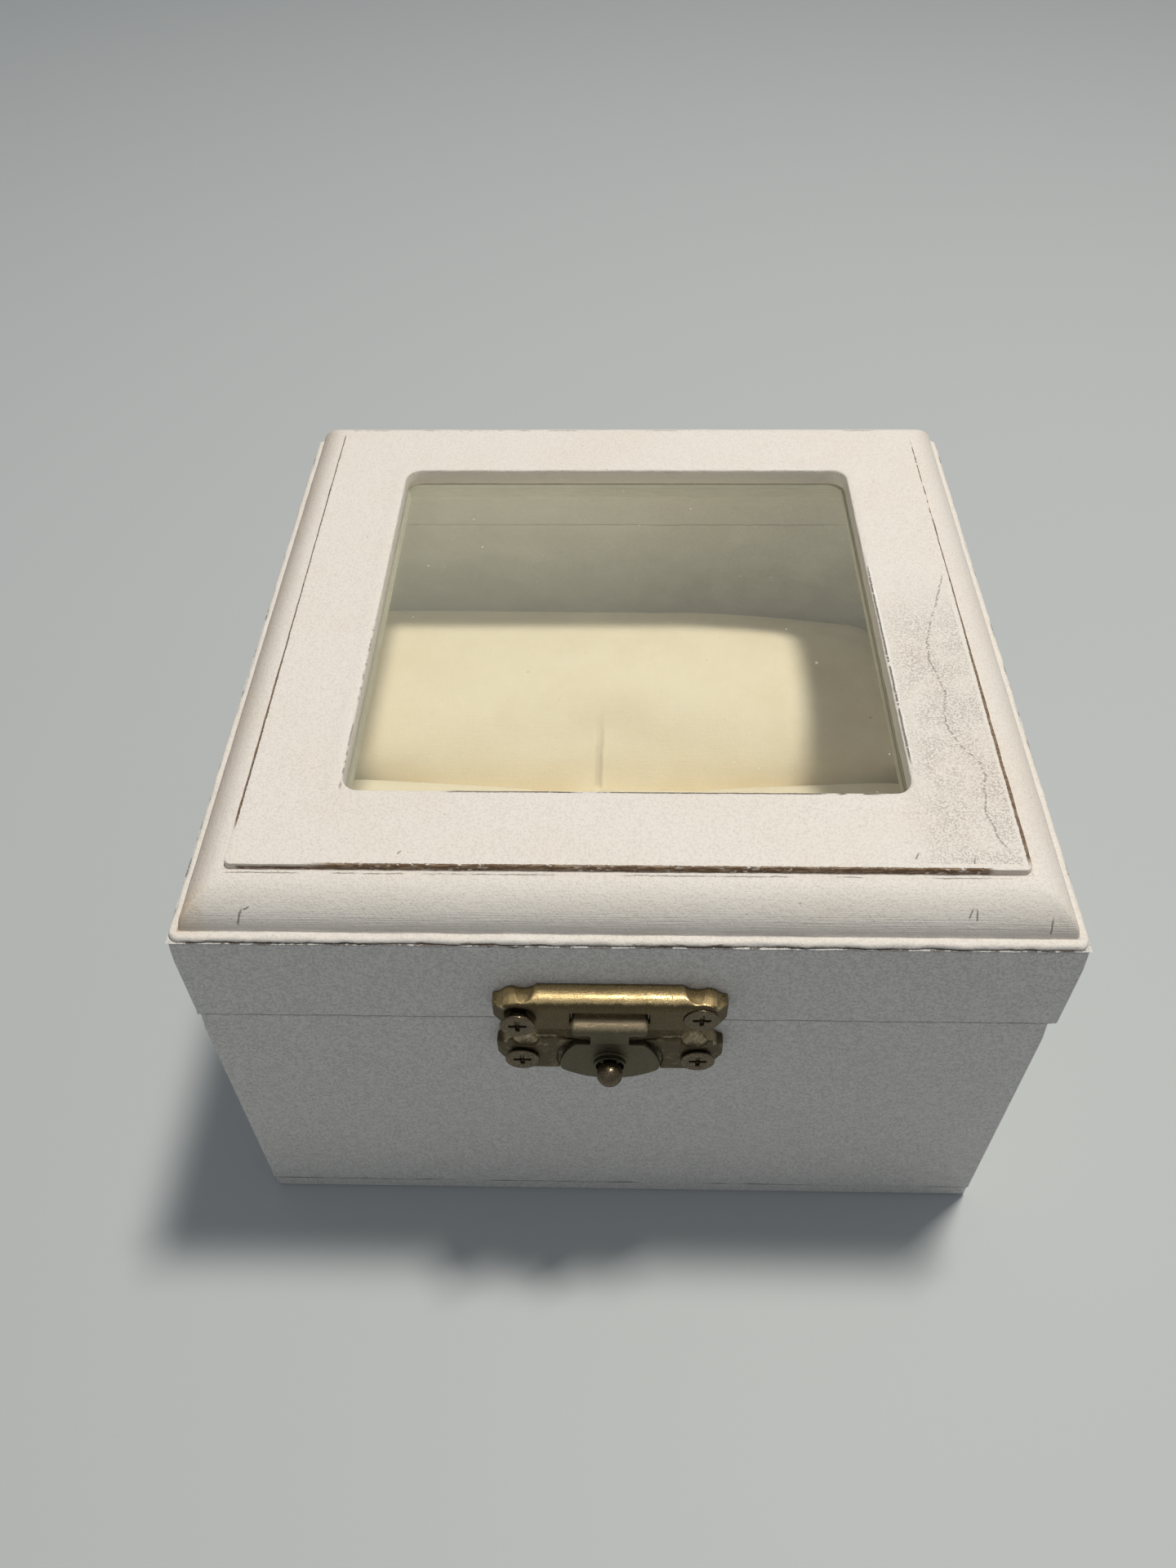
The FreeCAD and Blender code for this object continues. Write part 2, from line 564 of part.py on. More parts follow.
def make_cushions():
    """Two padded rolls: each falls a little to the slit between them and further to the wall."""
    floor = "(bottom_thickness + cushion_gap)"
    slit = "(cushion_gap / 2)"
    wall = f"({INNER_HALF_DEPTH} - cushion_gap)"
    crown = f"(({slit} + {wall}) / 2)"
    slit_top = "(cushion_crown - cushion_slit_drop)"
    wall_top = "(cushion_crown - cushion_wall_drop)"
    run = f"({wall} - {crown})"
    slit_round = f"(({run} ^ 2 + cushion_slit_drop ^ 2) / (2 * cushion_slit_drop))"
    wall_round = f"(({run} ^ 2 + cushion_wall_drop ^ 2) / (2 * cushion_wall_drop))"
    outlines = {
        "cushion_front": [(f"-{wall}", floor), (f"-{slit}", floor), (f"-{slit}", slit_top, slit_round, OUT),
                          (f"-{crown}", "cushion_crown", wall_round, OUT), (f"-{wall}", wall_top)],
        "cushion_rear": [(slit, floor), (wall, floor), (wall, wall_top, wall_round, OUT),
                         (crown, "cushion_crown", slit_round, OUT), (slit, slit_top)],
    }
    half_width = f"({INNER_HALF_WIDTH} - cushion_gap)"
    shoulder = f"({half_width} - cushion_end_round)"
    beyond = f"({half_width} + {MARGIN})"
    above = f"(cushion_crown + {MARGIN})"
    for label, outline in outlines.items():
        body = new_body(label)
        sketch = new_sketch(body, "YZ")
        trace(sketch, outline)
        pad(body, sketch, f"2 * {half_width}", symmetric=True)
        sketch = new_sketch(body, "XZ")
        low = "(cushion_crown - cushion_end_round)"
        trace(sketch, [
            (half_width, low), (beyond, low), (beyond, above), (shoulder, above),
            (shoulder, "cushion_crown", "cushion_end_round", IN),
        ])
        trace(sketch, [
            (f"-{beyond}", low), (f"-{half_width}", low, "cushion_end_round", IN),
            (f"-{shoulder}", "cushion_crown"), (f"-{shoulder}", above), (f"-{beyond}", above),
        ])
        pocket(body, sketch, "box_depth", symmetric=True)


# --------------------------------------------------------------------------------------------------
# Butt hinges
# --------------------------------------------------------------------------------------------------

def make_leaf(label, hinge_x, sign, kept):
    """A rolled leaf below (sign -1) or above (sign 1) the pin's axis, with the kept knuckles."""
    body = new_body(label, hinge_x, HINGE_AXIS_Y, HINGE_AXIS_Z)
    sketch = new_sketch(body, "YZ")
    low_high = sorted(["0", f"{sign} * leaf_reach"], key=size)
    rectangle(sketch, f"-{AXIS_TO_WOOD}", f"-{AXIS_TO_WOOD} + leaf_thickness", *low_high)
    pad(body, sketch, "hinge_length", symmetric=True)
    sketch = new_sketch(body, "YZ")
    circle(sketch, "0", "0", KNUCKLE)
    pad(body, sketch, "hinge_length", symmetric=True)
    sketch = new_sketch(body, "XZ")
    notch_half = f"({KNUCKLE} + knuckle_gap)"
    for number in range(5):
        if number in kept:
            continue
        left = f"(hinge_length * ({number} - 2.5) / 5 - knuckle_gap / 2)"
        right = f"(hinge_length * ({number} - 1.5) / 5 + knuckle_gap / 2)"
        rectangle(sketch, left, right, f"-{notch_half}", notch_half)
    pocket(body, sketch, f"4 * {KNUCKLE}", symmetric=True)
    sketch = new_sketch(body, "YZ")
    circle(sketch, "0", "0", "pin_size + pin_clearance")
    pocket(body, sketch, f"hinge_length + {MARGIN}", symmetric=True)
    for screw in (-1, 1):
        sketch = new_sketch(body, "XY", f"{sign} * hinge_screw_drop", f"{screw} * hinge_screw_spread / 2")
        face = f"(-{AXIS_TO_WOOD} + leaf_thickness)"
        trace(sketch, [
            ("0", f"-{AXIS_TO_WOOD}"), ("hinge_screw_shank + pilot_clearance", f"-{AXIS_TO_WOOD}"),
            ("hinge_screw_head + pilot_clearance", face), ("0", face),
        ])
        revolve(body, sketch, groove=True)


def make_hinges():
    for side, sign in (("left", -1), ("right", 1)):
        hinge_x = f"{sign} * hinge_spread / 2"
        make_leaf(f"hinge_{side}_base_leaf", hinge_x, -1, (0, 2, 4))
        make_leaf(f"hinge_{side}_lid_leaf", hinge_x, 1, (1, 3))
        body = new_body(f"hinge_{side}_pin", hinge_x, HINGE_AXIS_Y, HINGE_AXIS_Z)
        sketch = new_sketch(body, "YZ")
        circle(sketch, "0", "0", "pin_size")
        pad(body, sketch, "hinge_length", symmetric=True)
    for group, sign in (("hinge_base_screws", -1), ("hinge_lid_screws", 1)):
        screws = []
        for number, x in enumerate(hinge_screw_places("0"), start=1):
            place = (x, "(box_depth / 2 + leaf_thickness)", f"{HINGE_AXIS_Z} + {sign} * hinge_screw_drop")
            screws.append(make_hinge_screw(f"{group}_{number}", place))
        gather(group, screws)


# --------------------------------------------------------------------------------------------------
# Screws
# --------------------------------------------------------------------------------------------------

TO_FRONT = FreeCAD.Rotation(FreeCAD.Vector(1, 0, 0), 90)     # local +Z points out of the front
TO_BACK = FreeCAD.Rotation(FreeCAD.Vector(1, 0, 0), -90)     # local +Z points out of the back


def cut_cross(body, top):
    """A cross recess cut down from the top of a head."""
    sketch = new_sketch(body, "XY", top)
    arm = "(screw_slot_width / 2)"
    reach = "screw_slot_reach"
    trace(sketch, [
        (f"-{arm}", f"-{reach}"), (arm, f"-{reach}"), (arm, f"-{arm}"), (reach, f"-{arm}"),
        (reach, arm), (arm, arm), (arm, reach), (f"-{arm}", reach),
        (f"-{arm}", arm), (f"-{reach}", arm), (f"-{reach}", f"-{arm}"), (f"-{arm}", f"-{arm}"),
    ])
    pocket(body, sketch, "screw_slot_depth")


def make_plate_screw(label, place, seat):
    """Its own origin is where the shank meets the countersunk head; the head's flat face looks up +Z."""
    body = new_body(label, *place, node=False)
    body.Placement.Rotation = TO_FRONT
    sketch = new_sketch(body, "XZ")
    tip = f"({seat} + screw_length)"
    trace(sketch, [
        ("0", f"-{tip}"), ("screw_shank", f"-{tip}"), ("screw_shank", "0"),
        ("screw_head", "screw_head_height - screw_head_edge"), ("screw_head", "screw_head_height"),
        ("0", "screw_head_height"),
    ])
    revolve(body, sketch)
    cut_cross(body, "screw_head_height")
    return body


def make_hinge_screw(label, place):
    """Its own origin is in the leaf's outer face; the flat head looks up +Z."""
    body = new_body(label, *place, node=False)
    body.Placement.Rotation = TO_BACK
    sketch = new_sketch(body, "XZ")
    tip = "(leaf_thickness + hinge_screw_length)"
    trace(sketch, [
        ("0", f"-{tip}"), ("hinge_screw_shank", f"-{tip}"), ("hinge_screw_shank", "-leaf_thickness"),
        ("hinge_screw_head", "0"), ("0", "0"),
    ])
    revolve(body, sketch)
    return body


def gather(label, bodies):
    """Identical fasteners share one node as a group of separate solids."""
    group = document.addObject("Part::Compound", label)
    group.Label = label
    group.Links = bodies
    pieces.append(group)


# --------------------------------------------------------------------------------------------------
# Hasp
# --------------------------------------------------------------------------------------------------

def span(start, end):
    """Distance between two (x, y) corners: as a radius it gives an arc of sixty degrees."""
    return f"sqrt((({end[0]}) - ({start[0]})) ^ 2 + (({end[1]}) - ({start[1]})) ^ 2)"


def plate_outline(half, ear_top, ear_foot, dip=()):
    """A straight middle with eared ends; dip holds the corners of a dip in the upper edge."""
    shoulder = f"({half} - plate_shoulder)"
    peak = (f"({PLATE_PEAK} + plate_ear_peak)", f"({shoulder} - plate_ear_peak / 2)")
    foot = (PLATE_HOLE, f"-{half}")
    tip_foot = (PLATE_TIP, f"-{ear_foot}")
    tip_top = (PLATE_TIP, ear_top)
    under = f"2 * {span(foot, tip_foot)}"
    scoop = span(tip_top, peak)
    return [
        (f"-{foot[0]}", foot[1]), (*foot, under, OUT), tip_foot,
        (*tip_top, scoop, IN), peak, (PLATE_PEAK, shoulder), ("plate_bar", half), *dip,
        ("-plate_bar", half), (f"-{PLATE_PEAK}", shoulder), (f"-{peak[0]}", peak[1], scoop, IN),
        (f"-{PLATE_TIP}", ear_top), (f"-{PLATE_TIP}", tip_foot[1], under, OUT),
    ]


def make_pressed_plate(label, middle_z, half, depth, front_round, ear_depth, outline, screw_drop, seat):
    """A plate pressed forward of the wood, its ears sloping back, with a countersunk hole for each screw."""
    body = new_body(label, "latch_shift", FRONT, middle_z)
    sketch = new_sketch(body, "YZ")
    trace(sketch, [
        (f"-{depth}", f"-{half}"), ("0", f"-{half}"), ("0", half),
        (f"-({depth} - {front_round})", half, front_round, OUT), (f"-{depth}", f"{half} - {front_round}"),
    ])
    pad(body, sketch, f"2 * {PLATE_TIP}", symmetric=True)
    sketch = new_sketch(body, "XZ")
    beyond = f"({PLATE_TIP} + {MARGIN})"
    below = f"(2 * {half})"
    rectangle(sketch, f"-{beyond}", beyond, f"-{below}", below)
    trace(sketch, outline)
    pocket(body, sketch, f"4 * {depth}", symmetric=True)
    sketch = new_sketch(body, "XY")
    for sign in (-1, 1):
        trace(sketch, [
            (f"{sign} * {PLATE_PEAK}", f"-{depth}"), (f"{sign} * {PLATE_TIP}", f"-{ear_depth}"),
            (f"{sign} * {beyond}", f"-{ear_depth}"), (f"{sign} * {beyond}", f"-{depth} - {MARGIN}"),
            (f"{sign} * {PLATE_PEAK}", f"-{depth} - {MARGIN}"),
        ])
    pocket(body, sketch, f"4 * {half}", symmetric=True)
    bore = "(screw_shank + pilot_clearance)"
    widening = "(screw_head - screw_shank) / (screw_head_height - screw_head_edge)"
    for sign in (-1, 1):
        sketch = new_sketch(body, "XY", f"-{screw_drop}", f"{sign} * {PLATE_HOLE}")
        trace(sketch, [
            ("0", f"-{depth} - {MARGIN}"),
            (f"{bore} + ({depth} + {MARGIN} - {seat}) * {widening}", f"-{depth} - {MARGIN}"),
            (bore, f"-{seat}"), (bore, MARGIN), ("0", MARGIN),
        ])
        revolve(body, sketch, groove=True)
    return body


def bite_edge(body, height, wide, narrow):
    """A conical bite over each screw; wide and narrow are (y, radius) at the cone's base and its point."""
    for sign in (-1, 1):
        sketch = new_sketch(body, "XY", height, f"{sign} * {BITE_X}")
        ends = sorted([wide, narrow], key=lambda end: size(end[0]))
        corners = [("0", ends[0][0])]
        corners += [(radius, y) for y, radius in ends if size(radius) > 0]
        corners.append(("0", ends[1][0]))
        trace(sketch, corners)
        revolve(body, sketch, groove=True)


def hollow_back(body, low, high, front_depth):
    """Leave one thickness of sheet over the straight middle."""
    sketch = new_sketch(body, "XZ")
    rectangle(sketch, "-(plate_bar - plate_sheet)", "plate_bar - plate_sheet", low, high)
    pocket(body, sketch, f"{front_depth} - plate_sheet", reverse=True)


def make_plate_screws(label, screw_z, seat, backed_out):
    """The left and right screws of a plate; backed_out is how far each stands off its seat."""
    screws = []
    for number, (sign, proud) in enumerate(zip((-1, 1), backed_out), start=1):
        place = (f"latch_shift + {sign} * {PLATE_HOLE}", f"{FRONT} - {seat} - {proud}", screw_z)
        screws.append(make_plate_screw(f"{label}_{number}", place, seat))
    gather(label, screws)


def make_hasp_plate():
    """The upper plate: bites that run out forward, and a slot that leaves a bar for the flap's curl."""
    outline = plate_outline("hasp_plate_half", "hasp_ear_top", "hasp_ear_foot")
    body = make_pressed_plate("hasp_plate", HASP_PLATE_Z, "hasp_plate_half", "hasp_plate_depth",
                              "hasp_plate_round", "hasp_ear_depth", outline, "hasp_screw_drop",
                              "hasp_seat")
    bite_edge(body, "hasp_plate_half + hasp_bite_rise",
              (MARGIN, f"hasp_bite_size * (1 + {MARGIN} / hasp_bite_reach)"), ("-hasp_bite_reach", "0"))
    hollow_back(body, "-(hasp_plate_half - plate_sheet)", "hasp_plate_half - hasp_roof",
                "hasp_plate_depth")
    sketch = new_sketch(body, "XZ")
    crossbar_top = "(2 * crossbar_half - hasp_plate_half)"
    rectangle(sketch, f"-{SLOT_HALF}", SLOT_HALF, crossbar_top, f"{crossbar_top} + hasp_slot_height")
    pocket(body, sketch, reverse=True)
    sketch = new_sketch(body, "XZ")
    rectangle(sketch, f"-{SLOT_HALF}", SLOT_HALF, f"-hasp_plate_half - {MARGIN}", crossbar_top)
    pocket(body, sketch, "hasp_plate_depth - plate_sheet", reverse=True)
    make_plate_screws("hasp_plate_screws", HASP_SCREW_Z, "hasp_seat", ("screw_backed_out", "0"))


def make_catch_plate():
    """The lower plate: its middle dips under the curl, and a round panel is sunk behind the fan."""
    dip_round = "((catch_dip_half ^ 2 + catch_dip ^ 2) / (2 * catch_dip))"
    dip = [("catch_dip_half", "catch_plate_half", dip_round, IN), ("-catch_dip_half", "catch_plate_half")]
    outline = plate_outline("catch_plate_half", "catch_ear_top", "catch_ear_foot", dip)
    body = make_pressed_plate("catch_plate", CATCH_PLATE_Z, "catch_plate_half", "catch_plate_depth",
                              "catch_plate_round", "catch_ear_depth", outline, "catch_screw_drop",
                              "catch_seat")
    bite_edge(body, "catch_plate_half - catch_bite_drop",
              (f"-catch_plate_depth - {MARGIN}", f"catch_bite_size * (1 + {MARGIN} / catch_bite_reach)"),
              ("catch_bite_reach - catch_plate_depth", "0"))
    hollow_back(body, "-(catch_plate_half - plate_sheet)", "catch_plate_half - catch_roof",
                "catch_panel_depth")
    sketch = new_sketch(body, "XZ", "catch_panel_depth")
    panel_middle = f"({FLAP_AXIS_Z} - fan_widest - {CATCH_PLATE_Z})"
    panel_top = "(catch_plate_half - catch_rim)"
    panel_foot = f"(-catch_plate_half - {MARGIN})"
    top_half = f"sqrt({PANEL_ROUND} ^ 2 - ({panel_top} - {panel_middle}) ^ 2)"
    foot_half = f"sqrt({PANEL_ROUND} ^ 2 - ({panel_foot} - {panel_middle}) ^ 2)"
    trace(sketch, [
        (f"-{foot_half}", panel_foot), (foot_half, panel_foot, PANEL_ROUND, OUT),
        (top_half, panel_top), (f"-{top_half}", panel_top, PANEL_ROUND, OUT),
    ])
    pocket(body, sketch, reverse=True)
    cut_holes(body, "XZ", "0", [("0", f"{STUD_Z} - {CATCH_PLATE_Z}")], "stud_neck + pilot_clearance",
              reverse=True)
    make_plate_screws("catch_plate_screws", CATCH_SCREW_Z, "catch_seat", ("0", "0"))


def make_stud():
    """Turned ball stud, riveted through the lower plate; heights are outward from the wood."""
    body = new_body("catch_stud", "latch_shift", FRONT, STUD_Z)
    body.Placement.Rotation = TO_FRONT
    sketch = new_sketch(body, "XZ")
    tail = "(catch_panel_depth - plate_sheet)"
    shoulder = "(catch_panel_depth + stud_shoulder)"
    trace(sketch, [
        ("0", "0"), ("stud_flange", "0"), ("stud_flange", tail), ("stud_neck", tail),
        ("stud_neck", "catch_panel_depth"), ("stud_flange", "catch_panel_depth"), ("stud_flange", shoulder),
        ("stud_neck", shoulder),
        ("stud_neck", f"{BALL_OUT} - sqrt(ball_size ^ 2 - stud_neck ^ 2)", "ball_size", OUT),
        ("0", f"{BALL_OUT} + ball_size"),
    ])
    revolve(body, sketch)


def make_flap():
    """Sheet curled round the crossbar, bent back below it and spread into a fan with a flared eye."""
    body = new_body("hasp_flap", "latch_shift", f"{FRONT} - {FLAP_AXIS_OUT}", FLAP_AXIS_Z)
    fan_bottom = "(fan_widest + fan_corner + fan_belly)"
    bend_end = "(neck_bend + neck_bend_length)"
    sketch = new_sketch(body, "YZ")
    trace(sketch, [
        (f"-{CURL}", "0"), (f"-{CURL}", "-neck_bend"), ("-flap_sheet", f"-{bend_end}"),
        ("-flap_sheet", f"-{fan_bottom}"), ("0", f"-{fan_bottom}"), ("0", f"-{bend_end}"),
        (f"-{CURL_BORE}", "-neck_bend"), (f"-{CURL_BORE}", "0"),
    ])
    pad(body, sketch, f"2 * fan_half + {MARGIN}", symmetric=True)
    sketch = new_sketch(body, "XZ")
    foot = "(fan_half - fan_corner_width)"
    foot_line = "(fan_widest + fan_corner)"
    belly = f"(({foot} ^ 2 + fan_belly ^ 2) / (2 * fan_belly))"
    rectangle(sketch, f"-fan_half - {MARGIN}", f"fan_half + {MARGIN}", f"-{fan_bottom} - {MARGIN}",
              f"2 * {MARGIN}")
    trace(sketch, [
        ("-neck_half", MARGIN), ("-neck_half", "-fan_top"),
        ("-fan_shoulder", "-fan_top", "fan_side_round", OUT),
        ("-fan_half", "-fan_widest", "fan_corner", OUT),
        (f"-{foot}", f"-{foot_line}", belly, OUT), (foot, f"-{foot_line}", "fan_corner", OUT),
        ("fan_half", "-fan_widest", "fan_side_round", OUT), ("fan_shoulder", "-fan_top"),
        ("neck_half", "-fan_top"), ("neck_half", MARGIN),
    ])
    pocket(body, sketch, f"6 * {CURL}", symmetric=True)
    sketch = new_sketch(body, "YZ")
    circle(sketch, "0", "0", CURL)
    pad(body, sketch, "curl_width", symmetric=True)
    chamfer(body, "curl_ease",
            lambda middle, direction: near(abs(middle.x), "curl_width / 2") and abs(direction.x) < 0.1)
    sketch = new_sketch(body, "YZ")
    circle(sketch, "0", "0", CURL_BORE)
    pocket(body, sketch, f"curl_width + {MARGIN}", symmetric=True)
    sketch = new_sketch(body, "YZ")
    rectangle(sketch, "0", "curl_slit", f"-{CURL} - {MARGIN}", "0")
    pocket(body, sketch, f"curl_width + {MARGIN}", symmetric=True)
    sketch = new_sketch(body, "XY", f"-{EYE_DROP}")
    rim = f"({EYE_RADIUS} + eye_wall + eye_flare)"
    trace(sketch, [
        (EYE_RADIUS, "-flap_sheet / 2"), (EYE_RADIUS, "-flap_sheet - eye_rise"),
        (rim, "-flap_sheet - eye_rise"), (f"{EYE_RADIUS} + eye_wall", "-flap_sheet - eye_rise / 2"),
        (f"{EYE_RADIUS} + eye_wall", "-flap_sheet / 2"),
    ])
    revolve(body, sketch)
    cut_holes(body, "XZ", f"-{CURL}", [("0", f"-{EYE_DROP}")], EYE_RADIUS, reverse=True)


# --------------------------------------------------------------------------------------------------
# Build, check and write
# --------------------------------------------------------------------------------------------------

def check_and_write():
    document.recompute()
    for thing in document.Objects:
        if "Invalid" in thing.State or "Error" in thing.State:
            raise RuntimeError(f"{thing.Label} failed: {thing.State}")
    os.makedirs("parts", exist_ok=True)
    for piece in pieces:
        shape = piece.Shape
        if shape.isNull() or not shape.isValid():
            raise RuntimeError(f"{piece.Label} has no valid shape")
        shape.exportStep(f"parts/{piece.Label}.step")
        print(f"{piece.Label}: {len(shape.Solids)} solid(s), {shape.Volume:.2f} mm3")


make_base()
make_cushions()
make_lid_frame()
make_top_panel()
make_glazing()
make_hinges()
make_hasp_plate()
make_catch_plate()
make_stud()
make_flap()
check_and_write()
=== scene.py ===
# %% [markdown]
# # A painted keepsake box with a glazed lid
# This lesson dresses a finished construction model. The box is made of wooden boards under a chalky paint
# that has worn through at its edges, with a pane of glass in the lid, a padded cloth insert and a pressed
# brass hasp. The construction model already holds every size and every joint, so the scene starts by loading
# it, and each piece made here takes its place from it. Lengths are in metres, as everywhere in Blender,
# unless a title or a docstring says millimetres.

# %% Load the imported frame
import json
import math
from collections import namedtuple
from functools import partialmethod

import bmesh
import bpy
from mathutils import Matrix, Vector, noise


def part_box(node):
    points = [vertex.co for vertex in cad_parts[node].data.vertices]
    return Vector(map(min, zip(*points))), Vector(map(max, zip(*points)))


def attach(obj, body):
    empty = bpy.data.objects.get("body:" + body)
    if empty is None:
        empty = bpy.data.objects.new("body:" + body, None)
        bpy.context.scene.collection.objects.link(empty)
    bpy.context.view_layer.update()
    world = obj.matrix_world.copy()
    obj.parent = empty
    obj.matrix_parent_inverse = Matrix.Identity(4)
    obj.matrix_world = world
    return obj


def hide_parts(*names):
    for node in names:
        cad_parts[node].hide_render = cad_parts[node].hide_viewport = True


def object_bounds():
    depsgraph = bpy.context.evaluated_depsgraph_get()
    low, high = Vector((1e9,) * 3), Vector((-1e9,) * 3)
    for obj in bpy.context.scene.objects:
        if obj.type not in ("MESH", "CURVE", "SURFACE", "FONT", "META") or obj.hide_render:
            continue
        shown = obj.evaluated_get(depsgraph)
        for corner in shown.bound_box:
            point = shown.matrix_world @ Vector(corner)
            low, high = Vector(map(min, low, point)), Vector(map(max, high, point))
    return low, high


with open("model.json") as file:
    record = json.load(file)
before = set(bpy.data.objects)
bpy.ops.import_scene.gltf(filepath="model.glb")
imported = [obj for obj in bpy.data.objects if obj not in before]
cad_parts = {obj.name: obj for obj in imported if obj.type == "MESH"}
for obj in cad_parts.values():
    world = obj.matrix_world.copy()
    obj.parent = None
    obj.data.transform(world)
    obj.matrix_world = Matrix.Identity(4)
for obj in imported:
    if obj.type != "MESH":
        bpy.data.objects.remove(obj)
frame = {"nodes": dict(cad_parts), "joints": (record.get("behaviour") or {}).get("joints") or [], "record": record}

MM = 0.001
TOUCHING = 0.001 * MM
WAVER_SEED = 1
cad_low, cad_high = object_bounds()
nodes = frame["nodes"]
scene = bpy.context.scene
noise.seed_set(WAVER_SEED)    # without a seed this noise starts from the clock
print("nodes:", len(nodes), "size in mm:", [round(side / MM, 1) for side in cad_high - cad_low])

# %% [markdown]
# ## Measures that the finishes share
# Paint wears along edges and dirt settles in corners, so the materials need to know where those are. The
# boxes of the nodes give the outlines. The moulding's own steps aren't boxes of any node, so they are named
# here.

# %% Places on the lid and the base
panel_low, panel_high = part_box("lid_top_panel")
base_low, base_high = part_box("base_front_wall")
rail_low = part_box("lid_front_rail")[0]
glass_low, glass_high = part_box("window_glass")
window_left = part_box("glazing_bead_left")[1].x
window_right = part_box("glazing_bead_right")[0].x
window_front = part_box("glazing_bead_front")[1].y
window_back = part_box("glazing_bead_back")[0].y

lid_middle_x = (panel_low.x + panel_high.x) / 2
lid_half_width = (panel_high.x - panel_low.x) / 2
lid_half_depth = (panel_high.y - panel_low.y) / 2
window_half_width = (window_right - window_left) / 2
window_half_depth = (window_back - window_front) / 2

LEDGE_WIDTH = 1.6 * MM
LEDGE_HEIGHT = 0.8 * MM
OVOLO = 5.5 * MM
SHOULDER = 0.6 * MM
WINDOW_CORNER = 2.6 * MM
field_inset = LEDGE_WIDTH + OVOLO + SHOULDER
ledge_top = panel_low.z + LEDGE_HEIGHT
shoulder_top = ledge_top + OVOLO
print("window in mm:", round(2 * window_half_width / MM, 1), "by", round(2 * window_half_depth / MM, 1))

# %% [markdown]
# ## Camera
# The box is seen from close in front and above, with a wide lens, so its upright sides narrow towards the
# table. The camera stands 25 centimetres away, looks 48 degrees down and is turned a little out of square.

# %% Place the camera
CAMERA_LENS = 27.87
SENSOR_WIDTH = 36
CAMERA_PLACE = (-0.57 * MM, -150.54 * MM, 204.24 * MM)
CAMERA_TURN = (42.377, 0.801, 1.234)


def add_object(name, data):
    """A new object in the scene, at the origin."""
    made = bpy.data.objects.new(name, data)
    scene.collection.objects.link(made)
    return made


camera_data = bpy.data.cameras.new("camera")
camera_data.lens = CAMERA_LENS
camera_data.sensor_width = SENSOR_WIDTH
camera = add_object("camera", camera_data)
camera.location = CAMERA_PLACE
camera.rotation_euler = [math.radians(turn) for turn in CAMERA_TURN]
scene.camera = camera
print("camera looks down", round(90 - math.degrees(camera.rotation_euler.x), 1), "degrees")

# %% [markdown]
# ## Floor and light
# A studio shows small things on a pale sweep under soft lamps. One lamp hangs a metre above the box, a little
# behind it and to its right, so the lid is its brightest side and light falls through the window onto the
# cushions. A much weaker one fills the front. The world adds an even grey, which the glass and the brass
# mirror.

# %% Make the floor
FLOOR_SIZE = 6.0
FLOOR_GREY = (0.50, 0.53, 0.53)


def set_constants(shader, values):
    """Set the sockets of a shader that are the same all over."""
    for socket, value in values.items():
        shader.inputs[socket].default_value = value


floor_material = bpy.data.materials.new("pale floor")
floor_material.use_nodes = True
set_constants(floor_material.node_tree.nodes["Principled BSDF"],
              {"Base Color": (*FLOOR_GREY, 1), "Roughness": 0.6})
floor_mesh = bmesh.new()
bmesh.ops.create_grid(floor_mesh, x_segments=1, y_segments=1, size=FLOOR_SIZE / 2)
floor_data = bpy.data.meshes.new("floor")
floor_mesh.to_mesh(floor_data)
floor_mesh.free()
floor = add_object("floor", floor_data)
floor.data.materials.append(floor_material)
print("floor in metres:", FLOOR_SIZE)

# %% Hang the lamps
WORLD_GREY = (0.88, 0.92, 1.0)
WORLD_STRENGTH = 0.25
box_middle = Vector((0, 0, cad_high.z / 2))


def softbox(name, place, width, depth, watts, colour):
    """A rectangular area lamp that looks at the middle of the box."""
    data = bpy.data.lights.new(name, "AREA")
    data.shape = "RECTANGLE"
    data.size = width
    data.size_y = depth
    data.energy = watts
    data.color = colour
    lamp = add_object(name, data)
    lamp.location = place
    lamp.rotation_euler = (box_middle - lamp.location).to_track_quat("-Z", "Y").to_euler()


softbox("key", (0.20, 0.12, 1.05), width=0.13, depth=0.13, watts=8.3, colour=(1.0, 0.955, 0.885))
softbox("fill", (-0.35, -0.9, 0.45), width=0.7, depth=0.5, watts=0.3, colour=(0.90, 0.96, 1.0))

world = bpy.data.worlds.new("studio")
world.use_nodes = True
set_constants(world.node_tree.nodes["Background"], {"Color": (*WORLD_GREY, 1), "Strength": WORLD_STRENGTH})
scene.world = world
scene.view_settings.view_transform = "Standard"
print("lamps:", [thing.name for thing in scene.objects if thing.type == "LIGHT"])

# %% [markdown]
# ## Shader maths as sums
# A worn edge is a sum of distances, noises and limits. Written with nodes alone that takes a page of links,
# so one small class wraps an output socket and lets Python's own signs add the Math nodes.

# %% Wrap a socket


